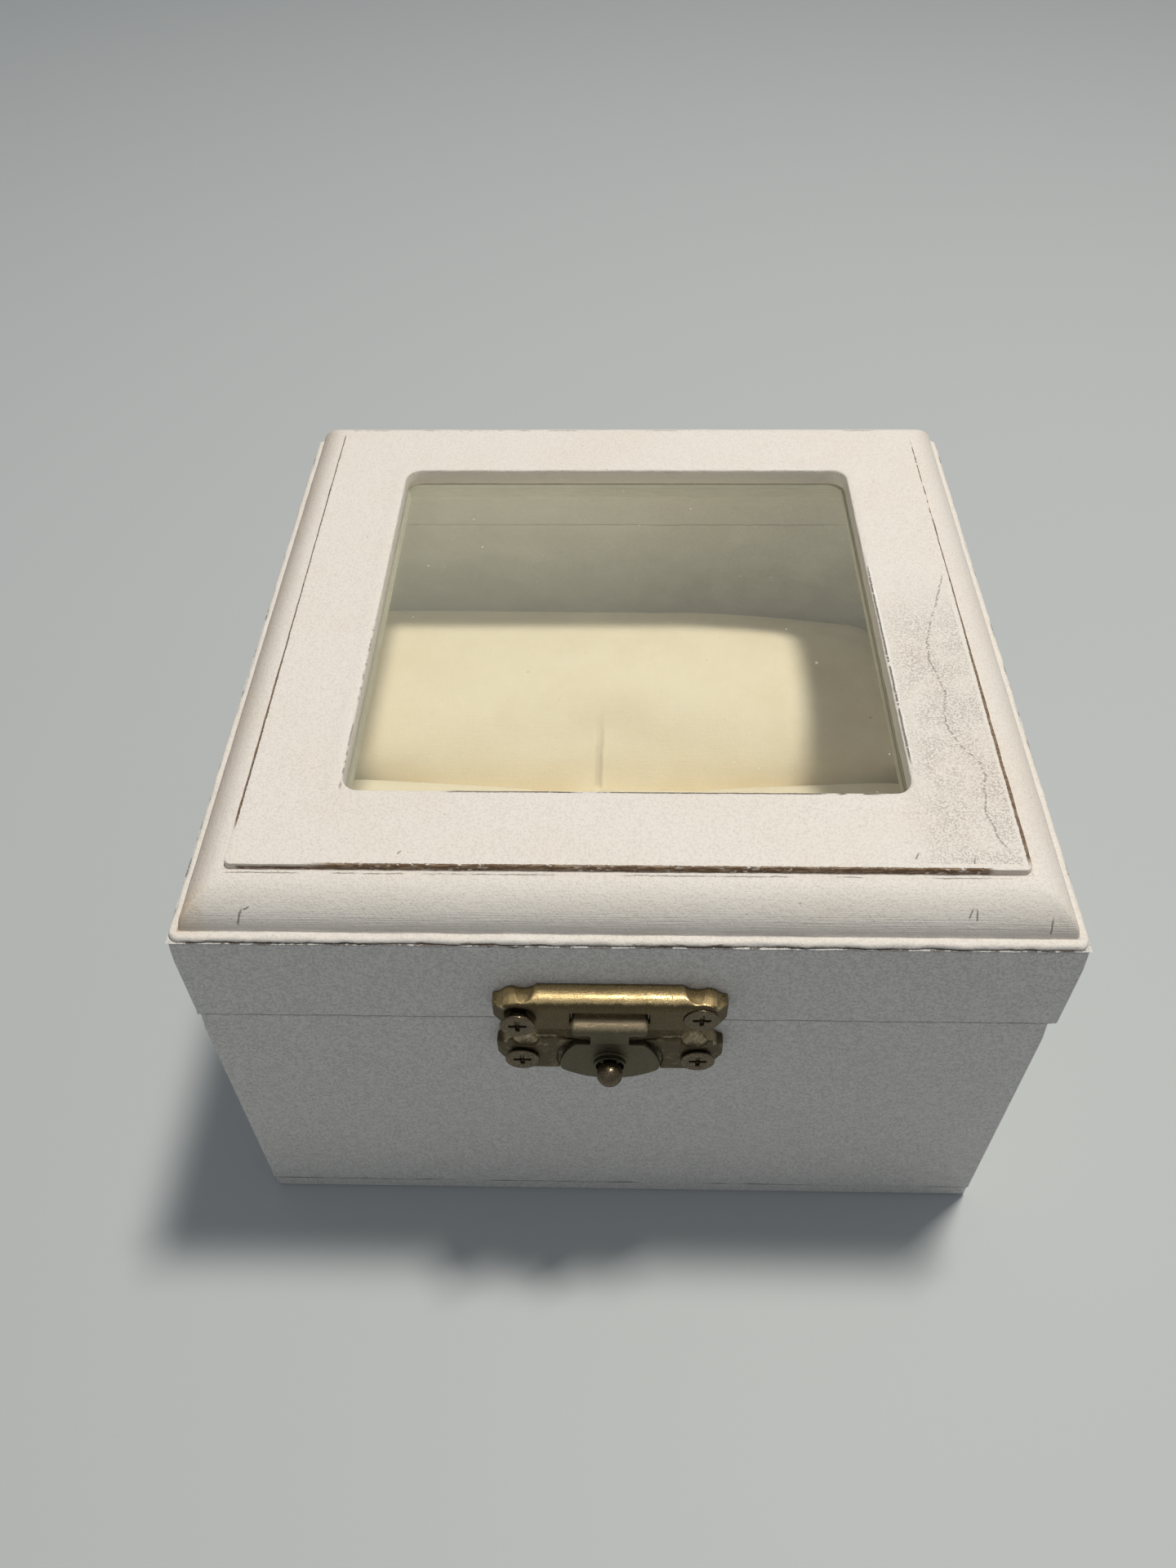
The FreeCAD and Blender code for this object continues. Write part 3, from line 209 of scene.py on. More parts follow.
class Wire:
    """One output socket of a material's nodes; sums with it add Math nodes."""

    def __init__(self, tree, socket):
        self.tree = tree
        self.socket = socket

    def node(self, kind, settings=None, inputs=None, output=0):
        """Add any node: its settings are set first, then the values or links of its sockets."""
        made = self.tree.nodes.new(kind)
        for name, value in (settings or {}).items():
            setattr(made, name, value)
        for name, value in (inputs or {}).items():
            if isinstance(value, Wire):
                self.tree.links.new(value.socket, made.inputs[name])
            else:
                made.inputs[name].default_value = value
        return Wire(self.tree, made.outputs[output])

    def math(self, operation, *others):
        """A Math node on this number and others."""
        return self.node("ShaderNodeMath", {"operation": operation}, dict(enumerate((self, *others))))

    __add__ = __radd__ = partialmethod(math, "ADD")
    __mul__ = __rmul__ = partialmethod(math, "MULTIPLY")
    __sub__ = partialmethod(math, "SUBTRACT")
    __truediv__ = partialmethod(math, "DIVIDE")
    __pow__ = partialmethod(math, "POWER")
    __abs__ = partialmethod(math, "ABSOLUTE")
    smaller = partialmethod(math, "MINIMUM")
    larger = partialmethod(math, "MAXIMUM")

    def __rsub__(self, other):
        return self.node("ShaderNodeMath", {"operation": "SUBTRACT"}, {0: other, 1: self})

    def between(self, low, high):
        """0 below low, 1 above high and a soft step between; turned round if low is the larger."""
        if low < high:
            return self.node("ShaderNodeMapRange", {"interpolation_type": "SMOOTHSTEP"},
                             {"Value": self, "From Min": low, "From Max": high})
        return 1 - self.between(high, low)

    def past(self, low, high, start=0.0):
        """The same step, with its limits in millimetres from a start in metres."""
        return self.between(start + low * MM, start + high * MM)

    def span(self, first, full, fade, last, start=0.0):
        """1 from full to fade and 0 outside first and last, in millimetres from a start in metres."""
        return self.past(first, full, start) * self.past(last, fade, start)

    def follow(self, points, low, high):
        """The height of a drawn curve over this number, from points of (this number, height)."""
        first, last = points[0][0], points[-1][0]
        made = self.tree.nodes.new("ShaderNodeFloatCurve")
        curve = made.mapping.curves[0]
        for number, (over, height) in enumerate(points):
            place = ((over - first) / (last - first), (height - low) / (high - low))
            if 0 < number < len(points) - 1:
                curve.points.new(*place)
            else:
                curve.points[0 if number == 0 else -1].location = place
        for point in curve.points:
            point.handle_type = "VECTOR"
        made.mapping.update()
        along = (self - first) / (last - first)
        self.tree.links.new(along.socket, made.inputs["Value"])
        return Wire(self.tree, made.outputs[0]) * (high - low) + low

    def parts(self):
        """The three numbers of a vector."""
        split = self.tree.nodes.new("ShaderNodeSeparateXYZ")
        self.tree.links.new(self.socket, split.inputs[0])
        return [Wire(self.tree, output) for output in split.outputs]

    def shrunk(self, size, stretch=(1, 1, 1)):
        """Coordinates counted in steps of a size in millimetres, longer along an axis by its stretch."""
        scale = tuple(1 / (size * MM * long) for long in stretch)
        return self.node("ShaderNodeVectorMath", {"operation": "MULTIPLY"}, {0: self, 1: scale})

    def noise(self, size, detail=2.0, stretch=(1, 1, 1), roughness=0.5):
        """Smooth noise with features of a size in millimetres, longer along an axis by its stretch."""
        place = self.shrunk(size, stretch)
        return place.node("ShaderNodeTexNoise", {},
                          {"Vector": place, "Scale": 1.0, "Detail": detail, "Roughness": roughness})

    def cells(self, size):
        """Distance to the nearest of many scattered points, in cells of a size in millimetres."""
        place = self.shrunk(size)
        return place.node("ShaderNodeTexVoronoi", {"feature": "F1"}, {"Vector": place, "Scale": 1.0})

    def blend(self, first, second):
        """first where this mask is 0 and second where it is 1; both are colours."""
        sockets = {0: self}
        for place, colour in ((6, first), (7, second)):
            sockets[place] = colour if isinstance(colour, Wire) else (*colour, 1)
        return self.node("ShaderNodeMix", {"data_type": "RGBA"}, sockets, output=2)


print("signs that add a Math node: + - * / ** and abs")

# %% Start and plug a material


def start_material(name):
    """A new material's Principled node and its Object coordinates, which are the frame's own, in metres."""
    material = bpy.data.materials.new(name)
    material.use_nodes = True
    tree = material.node_tree
    shader = tree.nodes["Principled BSDF"]
    coordinates = tree.nodes.new("ShaderNodeTexCoord")
    return material, shader, Wire(tree, coordinates.outputs["Object"])


def plug(wire, shader, socket):
    """Let a wire drive one socket of a shader."""
    wire.tree.links.new(wire.socket, shader.inputs[socket])


def bump(height, shader, depth):
    """Raise the surface by a height of 0 to 1 times a depth in metres."""
    normal = height.node("ShaderNodeBump", {}, {"Height": height, "Distance": depth, "Strength": 1.0})
    plug(normal, shader, "Normal")


print("materials so far:", len(bpy.data.materials))

# %% [markdown]
# ## Chalky paint
# The boards carry two or three coats of white chalk paint. It isn't one white: it is a little yellower where
# it is thin, it shows the roller's orange peel, and dust has left small tan specks in it. Every painted piece
# starts from the same ground, and its own marks are blended over it.

# %% Paint colours and the shared ground
CREAM = (0.80, 0.757, 0.690)
THIN_PAINT = (0.785, 0.733, 0.652)
# paint of the outside boards, darker and cooler as painted shade
SHADED_OUTSIDE_PAINT = (0.60, 0.60, 0.585)
DUST_SPECK = (0.42, 0.35, 0.27)
BARE_WOOD = (0.185, 0.112, 0.064)
PALE_WOOD = (0.36, 0.255, 0.165)
CRACK = (0.085, 0.060, 0.042)
# a grey that is both dust and painted shade, and a warm painted shade with some grime
GREY_GRIME_AND_SHADE = (0.47, 0.45, 0.43)
WARM_SHADE_AND_GRIME = (0.56, 0.44, 0.34)
NEAR_WHITE = (0.93, 0.91, 0.87)
STAIN = (0.62, 0.45, 0.24)
PAINT_RELIEF = 0.10 * MM


def paint_ground(place):
    """Colour and height of clean chalk paint."""
    patches = place.noise(14, detail=3).between(0.40, 0.75)
    colour = (patches * 0.7).blend(CREAM, THIN_PAINT)
    grit = place.noise(0.32, detail=2, roughness=0.75).between(0.50, 0.66)
    colour = (grit * 0.15).blend(colour, DUST_SPECK)
    specks = place.cells(2.6).between(0.070, 0.040) * place.noise(5).between(0.52, 0.60)
    colour = (specks * 0.7).blend(colour, DUST_SPECK)
    height = place.noise(0.9, detail=2) * 0.8 - grit * 0.25
    return colour, height


def finish_paint(shader, colour, height, dull):
    """Set the Principled node for dry, chalky paint; dull is a mask of what is rougher still."""
    plug(colour, shader, "Base Color")
    plug(0.62 + dull * 0.25, shader, "Roughness")
    set_constants(shader, {"Specular IOR Level": 0.35})
    bump(height, shader, PAINT_RELIEF)


print("clean paint:", CREAM, "and where it is thin:", THIN_PAINT)

# %% [markdown]
# ## The moulded top panel
# This is the piece that the eye meets first: a raised field with a window, a small upright step, a
# quarter-round and a flat ledge. The paint is rubbed through to brown wood along the field's front edge,
# cracked in short dashes along its sides and along the window, and grey with dust and painted shade where the
# quarter-round meets the ledge; the quarter-round, most on its left side, and the step get a warm painted
# shade. All of these follow the outline, so the material works out how far a point lies in from the panel's
# edge and how far out from the window, and every mark is a limit on those two distances.

# %% Broken lines and the joint under the ledge
ACROSS_DASHES = 50.0


def broken(place, axis, dash, low, high):
    """A mask of uneven dashes along one axis, of a size in millimetres, from a noise between low and high."""
    stretch = [ACROSS_DASHES] * 3
    stretch[axis] = 1.0
    return place.noise(dash, detail=3, stretch=stretch, roughness=0.6).between(low, high)


def ledge_crack(place):
    """The open joint under the ledge and the brown wood beside it, which the panel and the rails share."""
    x, y, z = place.parts()
    ragged = place.noise(0.35, detail=3) - 0.5
    waves = place.noise(2.6, detail=3, stretch=(1, 1, 50)) - 0.5
    loose_end = x.past(-44, -50)
    rise = z - panel_low.z - 0.10 * MM + (waves * (0.8 + loose_end * 0.6) + ragged * 0.25) * MM
    across = abs(x - lid_middle_x)
    outside = (across - lid_half_width).larger(abs(y) - lid_half_depth).past(-1.2, -1.0)
    off_corner = across.smaller(abs(y)).past(58.6, 57.8)
    on_front = y.past(1.2, 0.9, -lid_half_depth)
    thick = broken(place, 0, 4, 0.50, 0.66) * 0.08 * MM
    line = (abs(rise) - thick).past(0.12, 0.04)
    run = broken(place, 0, 9, 0.26, 0.34) * on_front + broken(place, 1, 7, 0.46, 0.54) * (1 - on_front)
    brown = (rise - thick * 0.5).past(0, 0.06) * (rise - thick).past(0.34, 0.20)
    brown = brown * broken(place, 0, 7, 0.52, 0.58) * on_front * x.past(46, 43)
    low_edge = abs(z - panel_low.z).past(0.9, 0.6) * outside * off_corner
    return line * run * low_edge, brown * low_edge


print("the joint lies at z in mm:", round(panel_low.z / MM, 2))

# %% Scratches: each has x and y of its start, its turn in degrees, its length and its width, in millimetres
MOULDING_SCRATCHES = [(-50.2, -58.2, 58, 1.6, 0.14), (-49.3, -57.2, 20, 1.0, 0.12),
                      (44.6, -57.4, 62, 1.2, 0.10), (45.6, -57.6, 92, 1.3, 0.10), (55.2, -58.3, 88, 1.2, 0.11)]
FIELD_SCRATCHES = [(38.2, -50.6, 65, 1.5, 0.10), (45.5, -51.6, 75, 1.8, 0.09), (-29.6, -50.4, 50, 0.9, 0.10)]


def scratch(place, start_x, start_y, turn, length, width):
    """A short mark that thins towards its end."""
    x, y = place.parts()[:2]
    forward, sideways = math.cos(math.radians(turn)), math.sin(math.radians(turn))
    from_x, from_y = x - start_x * MM, y - start_y * MM
    ahead = from_x * forward + from_y * sideways
    aside = from_y * forward - from_x * sideways
    aside = aside + (place.noise(0.8) - 0.5) * 0.25 * MM
    line = abs(aside).between(width * MM, width * 0.4 * MM)
    return line * ahead.past(0, 0.1) * ahead.between(length * MM, length * 0.5 * MM)


def scratches(place, marks):
    """Several short marks as one mask."""
    mask = scratch(place, *marks[0])
    for mark in marks[1:]:
        mask = mask.larger(scratch(place, *mark))
    return mask


print("scratches:", len(MOULDING_SCRATCHES), "and", len(FIELD_SCRATCHES))

# %% Where a point lies on the panel


def lie_on_panel(place):
    """x from the lid's middle, y and z, how far out along x and y, and how far in from the panel's edge."""
    x, y, z = place.parts()
    x = x - lid_middle_x
    across, along = abs(x), abs(y)
    return x, y, z, across, along, (lid_half_width - across).smaller(lid_half_depth - along)


def ragged_noises(place):
    """A fine and a wider noise about 0, which make the edge of a mark ragged."""
    return place.noise(0.35, detail=3) - 0.5, place.noise(1.6, detail=2) - 0.5


def paint_pores(place):
    """Fine tan dust in the paint's pores, as a mask."""
    return place.noise(0.40, detail=2, roughness=0.7).between(0.60, 0.70)


def panel_sides(x, y):
    """Masks of the panel's front, right, left and back parts, which meet on its diagonals."""
    across = abs(x)
    on_front = (0 - y - across).past(-0.2, 0.2)
    on_back = (y - across).past(-0.2, 0.2)
    on_sides = (1 - on_front - on_back).larger(0.0)
    return on_front, on_sides * x.past(-1, 1), on_sides * x.past(1, -1), on_back


print("the field starts in from the edge, in mm:", round(field_inset / MM, 2))

# %% Paint of the moulding


def moulding_paint():
    """Paint of the ledge, the quarter-round, the step and the first millimetre of the field."""
    material, shader, place = start_material("moulding chalk paint")
    colour, height = paint_ground(place)
    x, y, z, across, along, inset = lie_on_panel(place)
    on_front, on_right, on_left, on_back = panel_sides(x, y)
    ragged, wide_ragged = ragged_noises(place)
    colour = (paint_pores(place) * 0.22).blend(colour, DUST_SPECK)

    # grain and brush lines run along each side of the moulding
    grain_x = place.noise(0.16, detail=3, stretch=(60, 1, 1))
    grain_y = place.noise(0.16, detail=3, stretch=(1, 60, 1))
    grain = grain_x * (on_front + on_back) + grain_y * (on_right + on_left)
    on_ovolo = inset.past(-0.2, 0, LEDGE_WIDTH) * inset.past(0, -1, field_inset)
    low_ovolo = inset.past(1.8, 0.3, LEDGE_WIDTH) * on_ovolo
    height = height + grain * on_ovolo * (0.25 + low_ovolo)

    # grey at the foot of the quarter-round in front, dust with painted shade, and brush lines above it
    foot = (inset + wide_ragged * 0.7 * MM).past(0.7, 0.1, LEDGE_WIDTH)
    foot = foot * inset.past(-0.3, 0.05, LEDGE_WIDTH)
    foot_dust_and_shade = foot * (0.10 + grain.between(0.44, 0.62) * 0.30)
    streaks = grain.between(0.58, 0.70) * low_ovolo * 0.30
    colour = foot_dust_and_shade.larger(streaks).blend(colour, GREY_GRIME_AND_SHADE)
    # a warm painted shade on the quarter-round, most on its left side, and on the upright step
    warm_painted_shade = inset.past(5.4, 0.6, LEDGE_WIDTH) * on_ovolo
    warm_painted_shade = warm_painted_shade * (on_left * 0.75 + on_right * 0.12) * (0.6 + grain.between(0.40, 0.62) * 0.4)
    step = inset.span(-0.22, -0.08, 0, 0.2, field_inset)
    colour = warm_painted_shade.larger(step * 0.45).blend(colour, WARM_SHADE_AND_GRIME)

    # yellow varnish stain in the corners of the moulding, strongest at the front left
    corner = (lid_half_width - across).larger(lid_half_depth - along)
    corners = (corner + wide_ragged * 3 * MM).past(7, 2) * inset.past(0.8, 2)
    front_left = corners * on_front.larger(on_left) * x.past(0, -10) * y.past(0, -10)
    colour = (corners * 0.08 + front_left * 0.34).blend(colour, STAIN)

    # the field's front edge is rubbed to brown wood, with white crumbs left in it
    edge_line = field_inset + (ragged * 0.30 + wide_ragged * 0.12) * MM
    over_arris = inset.past(-0.20, -0.10, field_inset)
    over_arris = over_arris * (inset - edge_line).past(0.36, 0.22)
    upper_part = (z + ragged * 0.30 * MM).past(-0.92, -0.80, panel_high.z)
    worn_run = x.span(-51.5, -50.5, 46.5, 48)
    worn_run = worn_run * (broken(place, 0, 9, 0.24, 0.30) * 0.85 + 0.15)
    crumbs = place.noise(0.45, detail=2, stretch=(2.2, 1, 1)).between(0.58, 0.64)
    crumbly = place.noise(10).between(0.40, 0.58).larger(x.past(36, 41))
    thinner = x.past(-38, -43) * z.past(-0.42, -0.34, panel_high.z)
    worn_front = over_arris * upper_part * on_front * worn_run * (1 - thinner)
    worn_front = worn_front * (1 - crumbs * (0.15 + crumbly * 0.75))

    # a thin broken line where the paint cracked along the top of the quarter-round
    brow = abs(inset - (LEDGE_WIDTH + OVOLO) + (ragged * 0.35 + wide_ragged * 0.25) * MM)
    brow = brow.past(0.10, 0.03) * (broken(place, 0, 5, 0.42, 0.56) * on_front * 0.5)

    # along its sides the paint has cracked in a brown line, thin behind and wide in front
    wide_side = y.past(10, -30) * (on_right * 0.28 + on_left * 0.12) * MM
    side_line = (inset - edge_line - wide_side).past(0.30, 0.20)
    side_line = side_line * inset.past(-0.20, -0.10, field_inset)
    side_line = side_line * z.past(-0.60, -0.45, panel_high.z)
    left_run = y.span(-47, -44, 49, 51) * on_left
    right_run = y.span(-52, -50, 46, 49) * on_right
    left_run = left_run * (broken(place, 1, 3, 0.24, 0.32) * 0.6 + 0.4)
    dashes = broken(place, 1, 1.6, 0.42, 0.48).larger(y.past(30, 18))
    side_crack = side_line * (left_run + right_run * (dashes * 0.9 + 0.1))
    back_crack = over_arris * upper_part * on_back * broken(place, 0, 5, 0.52, 0.60)

    joint, brown_ledge = ledge_crack(place)
    bare = worn_front.larger(side_crack * 0.95).larger(brown_ledge * 0.8)
    wood = place.noise(0.4, detail=2, stretch=(4, 1, 1)).between(0.42, 0.66).blend(BARE_WOOD, PALE_WOOD)
    colour = bare.blend(colour, wood)
    dark = (side_crack * 0.35).larger(back_crack * 0.5).larger(joint * 0.85).larger(brow)
    dark = dark.larger(scratches(place, MOULDING_SCRATCHES) * 0.6)
    colour = dark.blend(colour, CRACK)
    finish_paint(shader, colour, height - bare * 1.2 - dark * 2.0, bare)
    return material


materials = {"moulding": moulding_paint()}
print("nodes of the moulding's paint:", len(materials["moulding"].node_tree.nodes))

# %% Paint of the field, with points of its wandering crack as y and x in millimetres
CRACK_POINTS = [(-52.0, 50.9), (-47.0, 49.3), (-42.0, 48.4), (-36.0, 49.6), (-33.0, 49.2), (-30.3, 47.5),
                (-26.7, 46.1), (-23.6, 46.2), (-18.5, 47.0), (-15.5, 46.6), (-11.8, 45.9), (-7.7, 46.3),
                (-3.4, 47.5), (0.3, 48.8), (9.2, 51.6)]


def field_paint():
    """Paint of the flat field and the inside of the window."""
    material, shader, place = start_material("field chalk paint")
    colour, height = paint_ground(place)
    x, y, z, across, along, inset = lie_on_panel(place)
    out_of_window = (across - window_half_width).larger(along - window_half_depth)
    on_front, on_right, on_left = panel_sides(x, y)[:3]
    ragged, wide_ragged = ragged_noises(place)
    top_face = z.past(-0.30, -0.15, panel_high.z)

    # the dust is thickest in loose patches
    dusty = place.noise(16, detail=3).between(0.40, 0.70)
    colour = (paint_pores(place) * (0.14 + dusty * 0.22)).blend(colour, DUST_SPECK)

    # the upright wall of the window is painted near white, a painted light
    wall = z.past(-0.4, -0.8, panel_high.z)
    colour = (wall * 0.8).blend(colour, NEAR_WHITE)

    # cracks round the window; on the right they run a little way out on the rolled rim
    run_out = (on_right * (0.22 + y.past(9, -20) * 0.12) + on_front * 0.20) * MM
    beside = out_of_window - run_out + (ragged * 0.26 + wide_ragged * 0.16) * MM
    arris = abs(beside - 0.04 * MM).past(0.17, 0.08)
    arris = arris * z.past(-0.42, -0.30, panel_high.z)
    front_dashes = broken(place, 0, 6, 0.38, 0.46) * on_front * x.span(-26, -23, 33, 36)
    right_part = on_right * y.span(-35, -31, 8, 14)
    right_dashes = broken(place, 1, 1.5, 0.40, 0.47) * right_part
    left_dashes = broken(place, 1, 2.0, 0.48, 0.56) * on_left * y.past(2, -4) * 0.55
    window_crack = arris * (front_dashes * 0.85 + right_dashes * 0.75 + left_dashes * 0.8)
    chips = abs(beside - 0.34 * MM).past(0.30, 0.12)
    chips = chips * broken(place, 1, 3, 0.36, 0.52) * right_part
    colour = (chips * 0.7).blend(colour, NEAR_WHITE)

    # scuffs and one wandering crack on the right of the field
    scuff_area = x.past(34, 45) * y.past(12, -8) * inset.between(field_inset, 8 * MM)
    scuffs = place.noise(0.34, detail=3, roughness=0.75).between(0.50, 0.62) * scuff_area * top_face
    scuffs = scuffs * (0.45 + place.noise(5, detail=3).between(0.34, 0.58) * 0.55)
    colour = (scuffs * 0.42).blend(colour, DUST_SPECK)
    crack_x = y.follow([(along_y * MM, at_x * MM) for along_y, at_x in CRACK_POINTS], 45 * MM, 52 * MM)
    wander = place.noise(1.1, detail=5, stretch=(50, 1, 50), roughness=0.75) - 0.5
    crack = abs(x - crack_x - wander * 1.6 * MM)
    crack = (crack + ragged * 0.16 * MM).past(0.15, 0.05) * top_face
    crack = crack * y.span(-50, -48, 8, 9.2)
    crack = crack * broken(place, 1, 0.55, 0.42, 0.52)

    dark = window_crack.larger(crack * 0.42).larger(scratches(place, FIELD_SCRATCHES) * 0.6).smaller(1.0)
    colour = dark.blend(colour, CRACK)
    finish_paint(shader, colour, height - dark * 2.0 - scuffs * 0.5, dark)
    return material


materials["field"] = field_paint()
print("nodes of the field's paint:", len(materials["field"].node_tree.nodes))

# %% [markdown]
# ## Painted boards
# The rails of the lid and the walls of the base have the same paint. Their long edges along the open seam are
# handled most, so the paint has a bright, slightly chipped line there and a few dark nicks. The joint to the
# bottom board shows as a hairline under the paint. The outside gets painted shade: it is darker and cooler
# than the inside, and greyer in the hollows of its orange peel.

# %% Paint of the boards


def board_paint(name, edge_z, chips, under_ledge=False):
    """Chalk paint with nicks along a level edge; chips is how much of that edge they take."""
    material, shader, place = start_material(name)
    colour, height = paint_ground(place)
    x, y, z = place.parts()
    ragged = place.noise(0.4, detail=3) - 0.5
    run = place.noise(6, detail=3, stretch=(1, 1, 20), roughness=0.65)
    nicks = (abs(z - edge_z) + ragged * 0.5 * MM).past(0.42, 0.2)
    nicks = nicks * run.between(1 - chips, 1.03 - chips)
    thin = abs(z - edge_z).past(1.6, 0.2) * place.noise(3).between(0.5, 0.7) * 0.5
    hairline = abs(z - base_low.z + ragged * 0.1 * MM).past(0.13, 0.05)
    hairline = hairline * place.noise(9, stretch=(1, 1, 20)).between(0.40, 0.60)
    scuffs = place.noise(1.1, detail=4, stretch=(3, 3, 1), roughness=0.7).between(0.64, 0.74) * 0.30

    # the outside is painted darker and cooler as painted shade, and its orange peel gets painted shade in its
    # hollows
    outside = (abs(x - lid_middle_x) - lid_half_width).larger(abs(y) - lid_half_depth)
    outside = outside.past(-3.4, -1.4)
    colour = (outside * 0.6).blend(colour, SHADED_OUTSIDE_PAINT)
    painted_hollow_shade = height.between(0.44, 0.26) * outside * 0.12

    colour = thin.blend(colour, THIN_PAINT)
    colour = scuffs.larger(painted_hollow_shade).blend(colour, GREY_GRIME_AND_SHADE)
    colour = (hairline * 0.55).blend(colour, CRACK)
    colour = nicks.blend(colour, BARE_WOOD)
    height = height * 2.8 - nicks * 2.0 - hairline * 1.5
    if under_ledge:
        joint, brown = ledge_crack(place)
        colour = (brown * 0.8).blend(colour, BARE_WOOD)
        colour = (joint * 0.85).blend(colour, CRACK)
        height = height - joint * 1.5
    finish_paint(shader, colour, height, nicks)
    return material


materials["rail"] = board_paint("rail chalk paint", rail_low.z, 0.30, under_ledge=True)
materials["wall"] = board_paint("wall chalk paint", base_high.z, 0.32)
print("nodes of the boards' paints:", [len(materials[name].node_tree.nodes) for name in ("rail", "wall")])

# %% What holds the pane
GRAIN_RELIEF = 0.03 * MM


def dusty_strip(name, light, dark, stretch):
    """A dull strip with a faint grain, for the bead in painted shade and for hard putty."""
    material, shader, place = start_material(name)
    grain = place.noise(0.3, detail=4, stretch=stretch).between(0.35, 0.68)
    colour = grain.blend(light, dark)
    plug(colour, shader, "Base Color")
    set_constants(shader, {"Roughness": 0.8})
    bump(grain, shader, GRAIN_RELIEF)
    return material


# the bead's dull grey-green is painted shade, the shade it lies in under the edge of the pane
materials["bead"] = dusty_strip("shaded bead wood", (0.50, 0.475, 0.39), (0.42, 0.395, 0.31), (12, 12, 1))
materials["putty"] = dusty_strip("hard putty", (0.40, 0.385, 0.33), (0.32, 0.305, 0.255), (2, 2, 1))
print("finishes so far:", sorted(materials))

# %% [markdown]
# ## Glass
# The pane is thin, slightly green and dusty. A camera ray is bent and mirrored by real glass, but lamps are
# let straight through with a Light Path switch, because light through solid glass would need many thousands
# of samples to reach the pads. Dust lies on the glass as small pale specks and a thin uneven film, which is
# made lighter towards the left and the back as a painted reflection. The pane's cut sides lie in putty, so
# they are as dull as the putty is.

# %% Glass of the window
PANE_OVERLAP = 0.06 * MM
CLEAR_GLASS = (0.985, 0.995, 0.965, 1)
LIGHT_TINT = (0.985, 0.99, 0.965, 1)
GLASS_DUST = (0.74, 0.755, 0.60, 1)
PUTTY_ON_GLASS = (0.50, 0.485, 0.42, 1)


def window_glass():
    """Green, dusty glass that lets the lamps through, with its cut sides in putty."""
    material, shader, place = start_material("dusty window glass")
    set_constants(shader, {"Base Color": CLEAR_GLASS, "Transmission Weight": 1.0, "IOR": 1.48,
                           "Roughness": 0.01})
    x, y, z = place.parts()
    on_top = z.past(-0.1, -0.02, glass_high.z)
    # the dust film is lighter towards the left and the back: a painted reflection
    painted_glare = x.past(26, -34) * 0.10 + y.past(-20, 34) * 0.10
    film = 0.075 + painted_glare + place.noise(14, detail=4, roughness=0.65).between(0.35, 0.75) * 0.05
    specks = place.cells(3.2).between(0.055, 0.025) * place.noise(8).between(0.48, 0.56)
    lint = place.noise(0.7, detail=3, stretch=(1, 3, 1)).between(0.73, 0.78)
    dust_amount = ((specks * 0.8).larger(lint * 0.5) + film) * on_top
    to_side = (abs(x - lid_middle_x) - window_half_width).larger(abs(y) - window_half_depth)
    bedded = to_side.past(-0.02, -0.01, PANE_OVERLAP)
    dust = place.node("ShaderNodeBsdfDiffuse", {}, {"Color": GLASS_DUST})
    putty = place.node("ShaderNodeBsdfDiffuse", {}, {"Color": PUTTY_ON_GLASS})
    clear = place.node("ShaderNodeBsdfTransparent", {}, {"Color": LIGHT_TINT})
    shadow = place.node("ShaderNodeLightPath", output="Is Shadow Ray")
    diffuse = place.node("ShaderNodeLightPath", output="Is Diffuse Ray")
    glass = Wire(place.tree, shader.outputs[0])
    dusty = place.node("ShaderNodeMixShader", {}, {0: dust_amount.smaller(1.0), 1: glass, 2: dust})
    pane = place.node("ShaderNodeMixShader", {}, {0: shadow.larger(diffuse), 1: dusty, 2: clear})
    whole = place.node("ShaderNodeMixShader", {}, {0: bedded, 1: pane, 2: putty})
    plug(whole, place.tree.nodes["Material Output"], "Surface")
    return material


materials["glass"] = window_glass()
print("pane laps under the paint by mm:", PANE_OVERLAP / MM)

# %% [markdown]
# ## Cloth of the pads
# The insert is covered in a soft ivory cloth with a short nap. Close up it is a fine fuzz with barely visible
# threads, a few dark flecks and slightly warmer patches. One short crease runs back from the slit between the
# pads, with painted shade along its fold.

# %% Cloth
IVORY = (0.94, 0.84, 0.655)
WARM_IVORY = (0.91, 0.80, 0.605)
FUZZ_SHADE = (0.56, 0.47, 0.32)
FOLD_SHADE = (0.45, 0.36, 0.24)
FLECK = (0.12, 0.07, 0.05)
NAP_RELIEF = 0.10 * MM
pad_middle = (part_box("cushion_front")[0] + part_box("cushion_rear")[1]) / 2
pad_slit = (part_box("cushion_front")[1].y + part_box("cushion_rear")[0].y) / 2


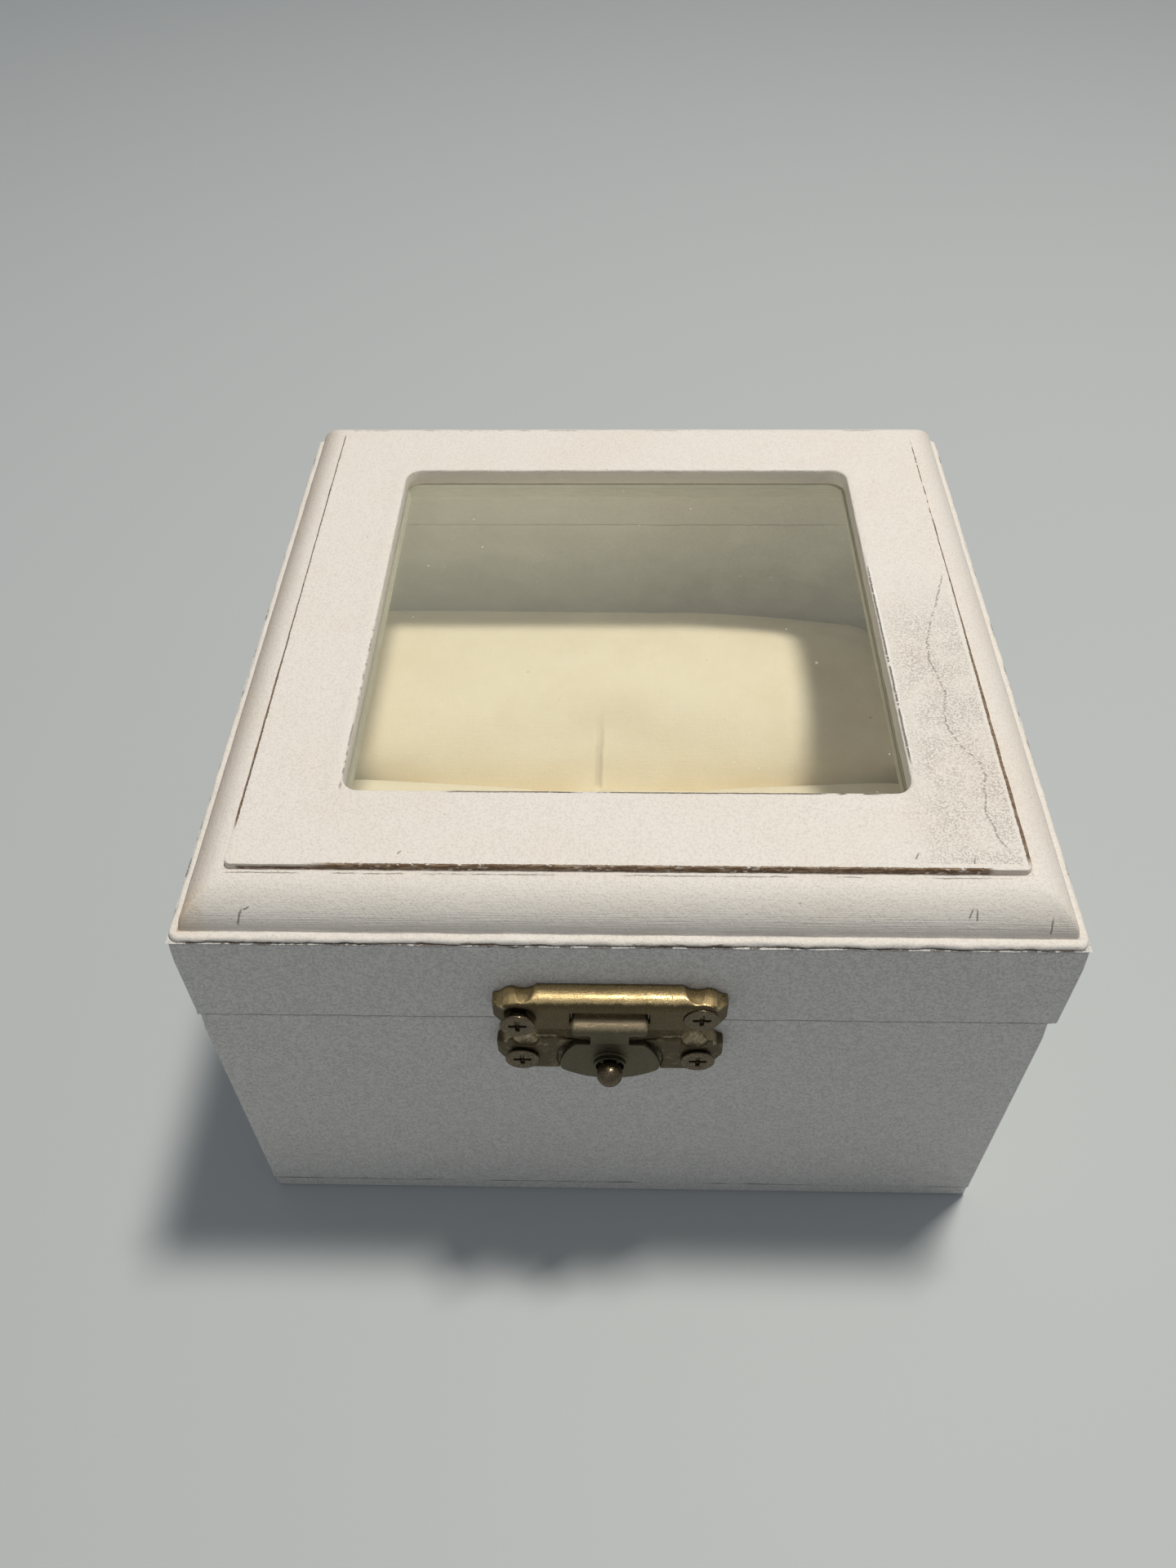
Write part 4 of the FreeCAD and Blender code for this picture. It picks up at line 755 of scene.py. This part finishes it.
def ivory_cloth():
    """Napped cloth with a few flecks and one short crease."""
    material, shader, place = start_material("ivory cloth")
    x, y = place.parts()[:2]
    tone = place.noise(9, detail=3).between(0.35, 0.70)
    colour = tone.blend(IVORY, WARM_IVORY)
    fuzz = place.noise(0.35, detail=3, roughness=0.7)
    colour = (fuzz.between(0.35, 0.70) * 0.10).blend(colour, FUZZ_SHADE)
    flecks = place.cells(7).between(0.026, 0.016) * place.noise(7).between(0.40, 0.44)
    threads_x = place.noise(0.30, detail=1, stretch=(14, 1, 1))
    threads_y = place.noise(0.30, detail=1, stretch=(1, 14, 1))
    fold_x = pad_middle.x - 4 * MM + (place.noise(9, stretch=(50, 1, 50)) - 0.5) * 2.5 * MM
    fold = abs(x - fold_x).past(0.9, 0) * y.past(14, 4) * y.past(0, 1, pad_slit)
    # the crease is darkened with painted shade
    colour = (fold ** 2 * 0.30).blend(colour, FOLD_SHADE)
    colour = flecks.blend(colour, FLECK)
    height = fuzz * 0.5 + threads_x * 0.25 + threads_y * 0.25 - fold * 4
    plug(colour, shader, "Base Color")
    plug(0.86 + fuzz * 0.1, shader, "Roughness")
    set_constants(shader, {"Sheen Weight": 0.25, "Sheen Roughness": 0.5, "Specular IOR Level": 0.2})
    bump(height, shader, NAP_RELIEF)
    return material


materials["cloth"] = ivory_cloth()
print("slit between the pads at y in mm:", round(pad_slit / MM, 2))

# %% [markdown]
# ## Antiqued brass and bronze
# The fittings are pressed from thin brass-plated sheet and toned dark, then rubbed so that the high spots are
# bright again, and the tone is mottled. The upper plate's top stays bright gold with a fine sparkle, and
# painted shade turns it dark olive where it bends down to its front. The plates get painted shade below their
# upper rims and are darker beside the wood, and the flap's rolled eye has a painted highlight along its top
# with painted shade under it.

# %% Toned metal
METAL_RELIEF = 0.03 * MM


def antique_metal(name, bright, dark, rub, speckle, shade=None, roughness=0.24):
    """Toned metal; rub is how much of it is bright, and shade gives a mask of painted shade, where it is dark."""
    material, shader, place = start_material(name)
    mottle = place.noise(2.0, detail=4, roughness=0.65)
    clouds = place.noise(0.7, detail=3, roughness=0.7)
    bright_below = 0.36 - rub * 0.45
    tone = (mottle * 0.6 + clouds * 0.4).between(bright_below, bright_below + 0.34)
    # where a mask is given, its painted shade weighs more than the mottled tone
    if shade is not None:
        tone = tone * 0.46 + shade(place) * 0.68
    grit = place.noise(0.20, detail=3, roughness=0.8).between(0.48, 0.64)
    tone = (tone + (grit - 0.4) * speckle).smaller(1.0).larger(0.0)
    hairlines = place.noise(0.10, detail=2, stretch=(30, 1, 1)).between(0.62, 0.70)
    plug(tone.blend(bright, dark), shader, "Base Color")
    set_constants(shader, {"Metallic": 1.0})
    plug(roughness + tone * 0.14 + grit * 0.12, shader, "Roughness")
    bump(grit * -0.6 + mottle * 0.4 - hairlines * 0.3, shader, METAL_RELIEF)
    return material


print("relief of the metal in mm:", METAL_RELIEF / MM)

# %% Where the brass stays dark
flap_axis_z = next(joint["pos_m"][2] for joint in frame["joints"] if joint["name"] == "hasp_flap_hinge")


def front_shade(plate, reach):
    """Painted shade within a reach of a plate's front face and below its upper rim; darker where it meets the
    wood.
    """
    front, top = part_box(plate)[0].y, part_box(plate)[1].z

    def shade(place):
        y, z = place.parts()[1:]
        y = y + (place.noise(1.2, detail=2) - 0.5) * 0.4 * MM
        at_front = y.between(front + reach, front + reach * 0.45)
        below_rim = z.past(-1.6, -2.4, top)
        at_wood = y.past(-0.7, -0.1, base_low.y)
        return at_front.larger(below_rim).larger(at_wood * 0.6)

    return shade


def flap_shade(place):
    """Painted highlight on the rolled eye's top, painted shade under it and down the neck, less on the fan."""
    z = place.parts()[2] + (place.noise(0.9, detail=2) - 0.5) * 0.3 * MM
    below_roll = z.past(1.55, 0.25, flap_axis_z)
    fan = z.past(-2.4, -4.2, flap_axis_z)
    return below_roll - fan * 0.04


print("the flap turns at z in mm:", round(flap_axis_z / MM, 2))

# %% Metal finishes: name, bright and dark colour, how much is rubbed, speckle, shade and roughness
GOLD = (0.95, 0.72, 0.36)
PALE_BRASS = (0.80, 0.66, 0.42)
ROSE_BRASS = (0.95, 0.75, 0.47)
OLIVE_BRASS = (0.105, 0.082, 0.045)
DULL_OLIVE = (0.118, 0.104, 0.066)
BRONZE = (0.66, 0.54, 0.36)
DARK_BRONZE = (0.105, 0.080, 0.050)
METALS = {
    "hasp_plate": ("rubbed brass", GOLD, OLIVE_BRASS, 0.95, 0.50, front_shade("hasp_plate", 0.7 * MM)),
    "catch_plate": ("toned brass", PALE_BRASS, OLIVE_BRASS, 0.35, 0.35, front_shade("catch_plate", 0.45 * MM)),
    "flap": ("dull brass", ROSE_BRASS, DULL_OLIVE, 0.60, 0.30, flap_shade),
    "bronze": ("bronze", BRONZE, DARK_BRONZE, 0.60, 0.30, None, 0.12),
    "hinge": ("hinge brass", PALE_BRASS, OLIVE_BRASS, 0.45, 0.25),
}
for name, recipe in METALS.items():
    materials[name] = antique_metal(*recipe)
print("materials:", sorted(materials))

# %% [markdown]
# ## The moulded panel as a mesh
# On the real lid the moulding is cut round one board and then painted by hand, so its edges waver by a tenth
# of a millimetre. The construction model is perfectly straight, so the panel is made again here: one rounded
# outline is extruded again and again, and each time the new loop is moved in and up by the next step of the
# profile. All loops have the same number of points, so each can waver by its own amount.

# %% A loop of points, its steps and its waver
POINTS_ALONG = 170
CORNER_SEGMENTS = 6
Outline = namedtuple("Outline", "half_width half_depth corner height")


def outline_loop(mesh, outline):
    """A closed loop of edges: a plane with rounded corners and evenly cut sides, without its face."""
    corner = outline.corner
    bmesh.ops.create_grid(mesh, x_segments=1, y_segments=1, size=1)
    bmesh.ops.scale(mesh, vec=(outline.half_width, outline.half_depth, 1), verts=mesh.verts[:])
    bmesh.ops.bevel(mesh, geom=mesh.verts[:], offset=corner, offset_type="OFFSET", affect="VERTICES",
                    segments=CORNER_SEGMENTS, profile=0.5, material=-1)
    sides = [edge for edge in mesh.edges if edge.calc_length() > 4 * corner]
    bmesh.ops.subdivide_edges(mesh, edges=sides, cuts=POINTS_ALONG)
    bmesh.ops.delete(mesh, geom=mesh.faces[:], context="FACES_ONLY")
    bmesh.ops.translate(mesh, vec=(0, 0, outline.height), verts=mesh.verts[:])
    return mesh.edges[:]


def resize_loop(verts, old, new):
    """Move the points of one rounded outline to another."""
    for vert in verts:
        for axis in (0, 1):
            reach = old[axis] - old.corner
            centre = max(min(vert.co[axis], reach), -reach)
            turn = (vert.co[axis] - centre) / old.corner
            vert.co[axis] = centre / reach * (new[axis] - new.corner) + turn * new.corner
        vert.co.z = new.height


def waver(verts, amount, waves):
    """Push points about by smooth noises, each with its share of the amount, its length and its seed."""
    for share, length, seed in waves:
        for vert in verts:
            place = vert.co / length + Vector((seed, seed, seed))
            vert.co += noise.noise_vector(place) * (amount * share)


def finish_mesh(mesh, name, sharp_angle=40):
    """Turn a bmesh into an object at the origin, smooth up to an angle."""
    data = bpy.data.meshes.new(name)
    mesh.to_mesh(data)
    mesh.free()
    data.shade_smooth()
    data.set_sharp_from_angle(angle=math.radians(sharp_angle))
    return add_object(name, data)


def hand_over(piece, body, slot, *finishes, node=None):
    """Give a finished piece its materials and its body, and let it stand for a node; slot is not used."""
    piece.data.materials.clear()
    for finish in finishes:
        piece.data.materials.append(materials[finish])
    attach(piece, body)
    if node is not None:
        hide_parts(node)
    return piece


print("points in a loop:", 4 * (POINTS_ALONG + CORNER_SEGMENTS + 1))

# %% Profile of the panel
REBATE = 4.2 * MM
OVOLO_STEPS = 14
OVOLO_FLATNESS = 1.12
window_inset = lid_half_width - window_half_width
panel_top = panel_high.z


def profile_rows(inset, height, *steps):
    """Rows of inset, height, corner radius and waver, from steps of the same in millimetres."""
    return [(inset + inward * MM, height + up * MM, corner * MM, wobble * MM)
            for inward, up, corner, wobble in steps]


def panel_profile():
    """The moulding's section, from the rebate under the glass out to the ledge, up and back to the glass."""
    corner = WINDOW_CORNER / MM
    rows = profile_rows(window_inset - REBATE, panel_low.z, (0, 0, 0.3, 0))
    rows += profile_rows(0, panel_low.z, (1.0, 0, 1.3, 0), (0.60, 0, 1.4, 0), (0.37, 0.03, 1.5, 0.04),
                         (0.31, 0.20, 1.5, 0.12), (0.34, 0.42, 1.5, 0.14))
    rows += profile_rows(0, ledge_top, (0.45, -0.16, 1.4, 0.12), (0.64, -0.03, 1.2, 0.09),
                         (0.90, 0.03, 0.9, 0.06), (1.35, 0, 0.6, 0.05))
    rows += profile_rows(LEDGE_WIDTH, ledge_top, (-0.02, 0.02, 0.45, 0.07), (0.05, 0.18, 0.4, 0.06))
    for step in range(1, OVOLO_STEPS + 1):
        turn = math.radians(90 * step / OVOLO_STEPS)
        inward = OVOLO * (1 - math.cos(turn) ** OVOLO_FLATNESS) + 0.05 * MM * math.cos(turn)
        upward = OVOLO * math.sin(turn) ** OVOLO_FLATNESS
        corner_here = (0.4 + 0.9 * step / OVOLO_STEPS) * MM
        rows.append((LEDGE_WIDTH + inward, ledge_top + upward, corner_here, 0.04 * MM))
    rows += profile_rows(field_inset, shoulder_top, (-0.25, 0, 1.2, 0.05), (-0.06, 0.05, 1.1, 0.06),
                         (-0.01, 0.25, 1.0, 0.05))
    rows += profile_rows(field_inset, panel_top, (0, -0.55, 1.0, 0.06), (0.01, -0.22, 1.0, 0.08),
                         (0.08, -0.05, 1.0, 0.07), (0.25, 0, 1.0, 0.04), (1.0, -0.02, 1.0, 0.02),
                         (4.0, 0, 1.2, 0.02))
    rows += profile_rows(window_inset, panel_top, (-3.2, -0.06, 1.8, 0.02), (-2.3, -0.05, 2.0, 0.02),
                         (-1.6, 0.03, 2.2, 0.03), (-0.9, 0.04, 2.4, 0.03), (-0.38, -0.03, corner, 0.04),
                         (-0.10, -0.11, corner, 0.05), (0, -0.26, corner, 0.05), (0.02, -0.8, corner, 0.04),
                         (0, -1.8, corner, 0.04))
    rows += profile_rows(window_inset, glass_high.z, (-0.03, 0.15, corner, 0.04), (-0.10, 0.02, corner, 0.02))
    return rows + profile_rows(window_inset - REBATE, glass_high.z, (0, 0.02, 0.3, 0))


print("rows of the profile:", len(panel_profile()))

# %% Extrude the panel
FIELD_MARGIN = 1.0 * MM
PANEL_WAVES = [(1.0, 5 * MM, 3.0), (0.6, 1.4 * MM, 9.0)]
LEDGE_ROWS = slice(3, 10)
LEDGE_WAVER = 0.10 * MM
LEDGE_WAVES = [(1.0, 2.2 * MM, 21.0)]


def new_of_kind(made, kind):
    """The points or edges among what an operator made."""
    return [thing for thing in made["geom"] if isinstance(thing, kind)]


def make_panel():
    """The moulded panel: one loop, extruded through the rows of its profile and closed on itself."""
    mesh = bmesh.new()
    rows = panel_profile()
    outlines = [Outline(lid_half_width - inset, lid_half_depth - inset, corner, height)
                for inset, height, corner, wobble in rows]
    loop = outline_loop(mesh, outlines[0])
    rings = [(mesh.verts[:], 0.0)]
    for old, new, row in zip(outlines, outlines[1:] + outlines[:1], rows[1:] + rows[:1]):
        made = bmesh.ops.extrude_edge_only(mesh, edges=loop)
        verts = new_of_kind(made, bmesh.types.BMVert)
        fresh = set(verts)
        loop = [edge for edge in new_of_kind(made, bmesh.types.BMEdge) if fresh.issuperset(edge.verts)]
        resize_loop(verts, old, new)
        rings.append((verts, row[3]))
    for verts, wobble in rings:
        waver(verts, wobble, PANEL_WAVES)
    for verts, wobble in rings[LEDGE_ROWS]:
        waver(verts, LEDGE_WAVER, LEDGE_WAVES)
    bmesh.ops.remove_doubles(mesh, verts=mesh.verts[:], dist=TOUCHING)
    bmesh.ops.translate(mesh, vec=(lid_middle_x, 0, 0), verts=mesh.verts[:])
    bmesh.ops.recalc_face_normals(mesh, faces=mesh.faces[:])
    piece = finish_mesh(mesh, "moulded_top_panel")
    hand_over(piece, "lid", "painted_wood", "moulding", "field", node="lid_top_panel")
    for face in piece.data.polygons:
        inset = min(lid_half_width - abs(face.center.x - lid_middle_x), lid_half_depth - abs(face.center.y))
        face.material_index = 1 if inset > field_inset + FIELD_MARGIN else 0
    return piece


panel = make_panel()
print("panel faces:", len(panel.data.polygons))

# %% [markdown]
# ## The pane and its bed of putty
# A pane lies in putty, which fills the rebate round it, so that no dark hollow shows beside the glass. Here
# the pane is cut to the window and stands for the construction model's larger one, and the putty is a square
# frame: a flat face is inset, its middle is taken out, and the rest is drawn down by the glass's thickness.

# %% Bed the pane
PUTTY_WIDTH = 3.9 * MM
PUTTY_GAP = 0.02 * MM
HARD_EDGES = 30


def block(size, middle):
    """A bmesh of one box."""
    mesh = bmesh.new()
    bmesh.ops.create_cube(mesh, size=1.0)
    bmesh.ops.scale(mesh, vec=size, verts=mesh.verts[:])
    bmesh.ops.translate(mesh, vec=middle, verts=mesh.verts[:])
    return mesh


def make_pane():
    """The pane, cut to the window and a little under its paint."""
    width, depth = (2 * (half + PANE_OVERLAP) for half in (window_half_width, window_half_depth))
    middle = (lid_middle_x, 0, (glass_low.z + glass_high.z) / 2)
    mesh = block((width, depth, glass_high.z - glass_low.z), middle)
    piece = finish_mesh(mesh, "bedded_pane", HARD_EDGES)
    return hand_over(piece, "lid", "window_glass", "glass", node="window_glass")


def make_putty():
    """A square frame of putty as thick as the glass."""
    outer = PANE_OVERLAP + PUTTY_GAP + PUTTY_WIDTH
    mesh = bmesh.new()
    bmesh.ops.create_grid(mesh, x_segments=1, y_segments=1, size=1)
    bmesh.ops.scale(mesh, vec=(window_half_width + outer, window_half_depth + outer, 1), verts=mesh.verts[:])
    middle = mesh.faces[:]
    bmesh.ops.inset_region(mesh, faces=middle, thickness=PUTTY_WIDTH, use_boundary=True, use_even_offset=True)
    bmesh.ops.delete(mesh, geom=middle, context="FACES_ONLY")
    verts = new_of_kind(bmesh.ops.extrude_face_region(mesh, geom=mesh.faces[:]), bmesh.types.BMVert)
    bmesh.ops.translate(mesh, vec=(0, 0, glass_low.z - glass_high.z), verts=verts)
    bmesh.ops.translate(mesh, vec=(lid_middle_x, 0, glass_high.z), verts=mesh.verts[:])
    bmesh.ops.recalc_face_normals(mesh, faces=mesh.faces[:])
    return hand_over(finish_mesh(mesh, "putty_bed", HARD_EDGES), "lid", "painted_wood", "putty")


print("pane and putty faces:", len(make_pane().data.polygons), len(make_putty().data.polygons))

# %% [markdown]
# ## Boards with hand-sanded edges
# The boards' solids are too straight in the same way, and their screw holes are out of sight. Each board is
# made again as a box that is cut across every millimetre with bisect, so that it has points to move. The
# outsides of the lid and the base are then eased in at their corners, the lid's rails are rounded over at the
# top where the ledge sits back from them, and every outside arris is wavered a little.

# %% Round the outsides
SKIN = 0.01 * MM
Outside = namedtuple("Outside", "low high lip_height lip_depth")


def outside_of(labels, lip_height, lip_depth):
    """The lowest and highest corners of several boards together, and how their top arris is rounded."""
    boxes = [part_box(label) for label in labels]
    low = Vector([min(box[0][axis] for box in boxes) for axis in range(3)])
    high = Vector([max(box[1][axis] for box in boxes) for axis in range(3)])
    return Outside(low, high, lip_height, lip_depth)


def eased(co, outside, corner):
    """Where a point of a board's outside goes when the corner and the top arris are rounded."""
    outer_low, outer_high, lip_height, lip_depth = outside
    sign_x = 1 if co.x > (outer_low.x + outer_high.x) / 2 else -1
    sign_y = 1 if co.y > 0 else -1
    off_x = (outer_high.x - co.x) if sign_x > 0 else (co.x - outer_low.x)
    off_y = (outer_high.y - co.y) if sign_y > 0 else (co.y - outer_low.y)
    if min(off_x, off_y) > SKIN:
        return co.copy()
    inward = Vector((0, 0, 0))
    new = co.copy()
    if off_x < corner and off_y < corner:
        centre = Vector((co.x + sign_x * (off_x - corner), co.y + sign_y * (off_y - corner), co.z))
        arm = (co - centre).normalized()
        new = centre + arm * corner
        inward = -arm
    elif off_x < off_y:
        inward.x = -sign_x
    else:
        inward.y = -sign_y
    up = min(max((co.z - outer_high.z + lip_height) / lip_height, 0.0), 1.0)
    return new + inward * lip_depth * (1 - math.sqrt(1 - up * up))


OUTSIDES = {"lid": outside_of(["lid_front_rail", "lid_back_rail"], 0.80 * MM, 0.36 * MM),
            "base": outside_of(["base_front_wall", "base_back_wall"], 0.25 * MM, 0.12 * MM)}
base_size = OUTSIDES["base"].high - OUTSIDES["base"].low
print("outside of the base in mm:", [round(side / MM, 1) for side in base_size])

# %% Weather the boards
BOARD_PITCH = 1.0 * MM
ARRIS_BAND = 0.7 * MM
CORNER_STEPS = [0.1, 0.25, 0.45, 0.7, 1.0, 1.4, 2.0]
LIP_STEPS = [0.0, 0.3, 0.5, 0.7, 0.85, 0.95]
SHARP_CORNER = 0.45 * MM
WORN_CORNER = 1.5 * MM
WORN_HEIGHT = 5 * MM
FACE_WAVER = 0.02 * MM
ARRIS_WAVER = 0.09 * MM
BOARD_WAVES = [(1.0, 4 * MM, 0.0), (0.5, 1.3 * MM, 5.0)]


def board_cuts(low, high, outside):
    """Planes, each an axis and a place on it, that give a board its points."""
    long_axis = 0 if high.x - low.x > high.y - low.y else 1
    cuts = int((high[long_axis] - low[long_axis]) / BOARD_PITCH)
    planes = [(long_axis, low[long_axis] + BOARD_PITCH * (cut + 0.5)) for cut in range(cuts)]
    for step in CORNER_STEPS:
        for axis in (0, 1):
            planes += [(axis, outside.low[axis] + step * MM), (axis, outside.high[axis] - step * MM)]
    for band in (ARRIS_BAND, 3 * ARRIS_BAND, 6 * ARRIS_BAND):
        planes += [(2, low.z + band), (2, high.z - band)]
    return planes + [(2, high.z - outside.lip_height * (1 - step)) for step in LIP_STEPS]


def weather_board(label, body, finish):
    """A board with rounded outsides and wavering arrises, which stands for its node."""
    low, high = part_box(label)
    mesh = block(high - low, (low + high) / 2)
    for axis, offset in board_cuts(low, high, OUTSIDES[body]):
        if not low[axis] + SKIN < offset < high[axis] - SKIN:
            continue
        normal = Vector((0, 0, 0))
        normal[axis] = 1.0
        bmesh.ops.bisect_plane(mesh, geom=mesh.verts[:] + mesh.edges[:] + mesh.faces[:], dist=TOUCHING,
                               plane_co=normal * offset, plane_no=normal)
    for vert in mesh.verts:
        to_arris = min(vert.co.z - low.z, high.z - vert.co.z)
        closeness = max(0.0, 1 - to_arris / ARRIS_BAND)
        near_top = min(max(1 - (high.z - vert.co.z) / WORN_HEIGHT, 0.0), 1.0)
        corner = SHARP_CORNER + (WORN_CORNER - SHARP_CORNER) * near_top
        vert.co = eased(vert.co, OUTSIDES[body], corner)
        amount = FACE_WAVER + (ARRIS_WAVER - FACE_WAVER) * closeness
        waver([vert], amount, BOARD_WAVES)
    bmesh.ops.recalc_face_normals(mesh, faces=mesh.faces[:])
    piece = finish_mesh(mesh, f"painted_{label}", HARD_EDGES)
    return hand_over(piece, body, "painted_wood", finish, node=label)


boards = []
for side in ("front", "back", "left", "right"):
    boards.append(weather_board(f"base_{side}_wall", "base", "wall"))
    boards.append(weather_board(f"lid_{side}_rail", "lid", "rail"))
print("faces of the boards:", [len(board.data.polygons) for board in boards])

# %% [markdown]
# ## The padded insert
# Two foam rolls under cloth fill the base, with a slit between them. Cloth over foam has no flat face and no
# sharp edge: it is tightest in the middle and sinks towards its ends. Blender's cloth solver makes that shape
# from the plain solid: the solid is shrunk a little, given an even mesh, and blown up by a slight pressure
# for twenty frames. What it may move is capped, so that the pad stays clear of the wooden walls.

# %% Copy a solid as an even skin
MERGE_DISTANCE = 0.002 * MM
ALL_SMOOTH = 180


def shrink_skin(mesh, low, high, amount):
    """Draw a closed skin in from its box by an amount on every side."""
    middle = (low + high) / 2
    for vert in mesh.verts:
        for axis in range(3):
            half = (high[axis] - low[axis]) / 2
            vert.co[axis] = middle[axis] + (vert.co[axis] - middle[axis]) * (half - amount) / half


def even_copy(label, name, voxel, shrink=0.0):
    """A node's solid as one closed skin, shrunk if asked and given an even mesh of small cubes."""
    mesh = bmesh.new()
    mesh.from_mesh(nodes[label].data)
    bmesh.ops.remove_doubles(mesh, verts=mesh.verts[:], dist=MERGE_DISTANCE)
    if shrink:
        shrink_skin(mesh, *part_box(label), shrink)
    piece = finish_mesh(mesh, name, ALL_SMOOTH)
    remesh = piece.modifiers.new("even mesh", "REMESH")
    remesh.mode = "VOXEL"
    remesh.voxel_size = voxel
    return piece


def bake_modifiers(piece):
    """Keep the evaluated shape as the piece's mesh and drop its modifiers."""
    depsgraph = bpy.context.evaluated_depsgraph_get()
    shape = bpy.data.meshes.new_from_object(piece.evaluated_get(depsgraph))
    piece.modifiers.clear()
    piece.data = shape


print("points closer than this in mm are merged:", MERGE_DISTANCE / MM)

# %% Inflate a pad
PAD_CAP = 2.2 * MM
PAD_FRAMES = 20
PAD_CLOTH = {"use_pressure": True, "uniform_pressure_force": 4.0, "quality": 6, "tension_stiffness": 12,
             "compression_stiffness": 12, "bending_stiffness": 0.6}


def inflate(piece):
    """Run the cloth solver on a closed skin and keep its last frame, capped."""
    rest = [vert.co.copy() for vert in piece.data.vertices]
    cloth = piece.modifiers.new("cloth", "CLOTH")
    for setting, value in PAD_CLOTH.items():
        setattr(cloth.settings, setting, value)
    cloth.settings.effector_weights.gravity = 0
    cloth.point_cache.frame_start = 1
    cloth.point_cache.frame_end = PAD_FRAMES
    for frame_number in range(1, PAD_FRAMES + 1):
        scene.frame_set(frame_number)
    bake_modifiers(piece)
    moved = 0.0
    for vert, start in zip(piece.data.vertices, rest):
        step = vert.co - start
        if step.length > PAD_CAP:
            vert.co = start + step.normalized() * PAD_CAP
        moved = max(moved, min(step.length, PAD_CAP))
    scene.frame_set(1)
    return moved


print("frames of cloth:", PAD_FRAMES)

# %% Settle the pads and hand them over
PAD_VOXEL = 3.2 * MM
PAD_SHRINK = 0.9 * MM
PAD_SINK = {"cushion_front": 0.9 * MM, "cushion_rear": 0.6 * MM}
RIGHT_REAR_SINK = 4.4 * MM
RIGHT_RAMP = (11 * MM, 32 * MM, 1.25)
REAR_RAMP = (14 * MM, 26 * MM, 1.0)
STEADY_HEIGHT = 0.4


def ramp(number, start, length, most):
    """0 up to a start, then 1 after a length, and never over the most."""
    return min(max((number - start) / length, 0.0), most)


def settle(piece, label):
    """Sink the pad's top a little, most at the right rear corner, where the foam under it is short."""
    low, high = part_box(label)
    for vert in piece.data.vertices:
        top = ramp((vert.co.z - low.z) / (high.z - low.z), STEADY_HEIGHT, 1 - STEADY_HEIGHT, 1.0)
        right = ramp(vert.co.x, *RIGHT_RAMP)
        rear = ramp(vert.co.y, *REAR_RAMP)
        sink = PAD_SINK[label] + RIGHT_REAR_SINK * right ** 1.6 * rear * rear
        vert.co.z -= sink * top


def make_pad(label):
    """One pad: an even copy of its solid, inflated, settled and subdivided."""
    piece = even_copy(label, f"padded_{label}", PAD_VOXEL, PAD_SHRINK)
    bake_modifiers(piece)
    print(label, "moved by up to mm:", round(inflate(piece) / MM, 2))
    settle(piece, label)
    smooth = piece.modifiers.new("smooth", "SUBSURF")
    smooth.levels = 1
    smooth.render_levels = 1
    bake_modifiers(piece)
    piece.data.shade_smooth()
    hand_over(piece, "base", "cushion_cloth", "cloth", node=label)
    return piece


for label in PAD_SINK:
    print(label, "points:", len(make_pad(label).data.vertices))

# %% [markdown]
# ## Pressed fittings with soft edges
# Pressed and plated sheet has no sharp edge: the press rounds it and the plating rounds it more. The solids
# of the fittings have the right forms with hard edges, so each is copied, merged, given an even mesh of small
# cubes and smoothed, which rounds every edge alike. The plates then waver a little, as hand-finished sheet
# does.

# %% Soften the fittings, each with its body, slot, finish, cube size and waver
FITTINGS = {
    "hasp_plate": ("lid", "antique_brass", "hasp_plate", 0.12 * MM, 0.05 * MM),
    "catch_plate": ("base", "antique_brass", "catch_plate", 0.12 * MM, 0.04 * MM),
    "hasp_flap": ("hasp_flap", "antique_brass", "flap", 0.10 * MM, 0.0),
    "catch_stud": ("base", "bronze", "bronze", 0.08 * MM, 0.0),
    "hasp_plate_screws": ("lid", "bronze", "bronze", 0.08 * MM, 0.0),
    "catch_plate_screws": ("base", "bronze", "bronze", 0.08 * MM, 0.0),
}
SMOOTH_FACTOR = 0.5
SMOOTH_PASSES = 5
SMOOTHED_OFF = 0.03 * MM
WAVE_LENGTH = 2.6 * MM


def soften(label, body, slot, finish, voxel, wobble):
    """A copy of a fitting's solid with every edge rounded, which stands for its node."""
    piece = even_copy(label, f"worn_{label}", voxel)
    smooth = piece.modifiers.new("round edges", "SMOOTH")
    smooth.factor = SMOOTH_FACTOR
    smooth.iterations = SMOOTH_PASSES
    bake_modifiers(piece)
    normals = [vert.normal.copy() for vert in piece.data.vertices]
    for vert, normal in zip(piece.data.vertices, normals):
        vert.co += normal * SMOOTHED_OFF + noise.noise_vector(vert.co / WAVE_LENGTH) * wobble
    piece.data.shade_smooth()
    return hand_over(piece, body, slot, finish, node=label)


for label, recipe in FITTINGS.items():
    print(label, "faces:", len(soften(label, *recipe).data.polygons))

# %% [markdown]
# ## Dress the construction model
# Where the solid of the model already has the right shape, it stays and only takes its finish.

# %% Give each node its finish
FINISH_OF_SLOT = {"painted_wood": "wall", "window_glass": "glass", "cushion_cloth": "cloth",
                  "antique_brass": "flap", "bronze": "bronze", "hinge_brass": "hinge"}
FINISH_OF_WORD = {"top_panel": "moulding", "_rail": "rail", "glazing_bead": "bead"}
for subpart in frame["record"]["subparts"]:
    label = subpart["node"]
    by_word = [finish for word, finish in FINISH_OF_WORD.items() if word in label]
    finish = by_word[0] if by_word else FINISH_OF_SLOT[subpart["material_slot"]]
    node_materials = nodes[label].data.materials
    node_materials.clear()
    node_materials.append(materials[finish])
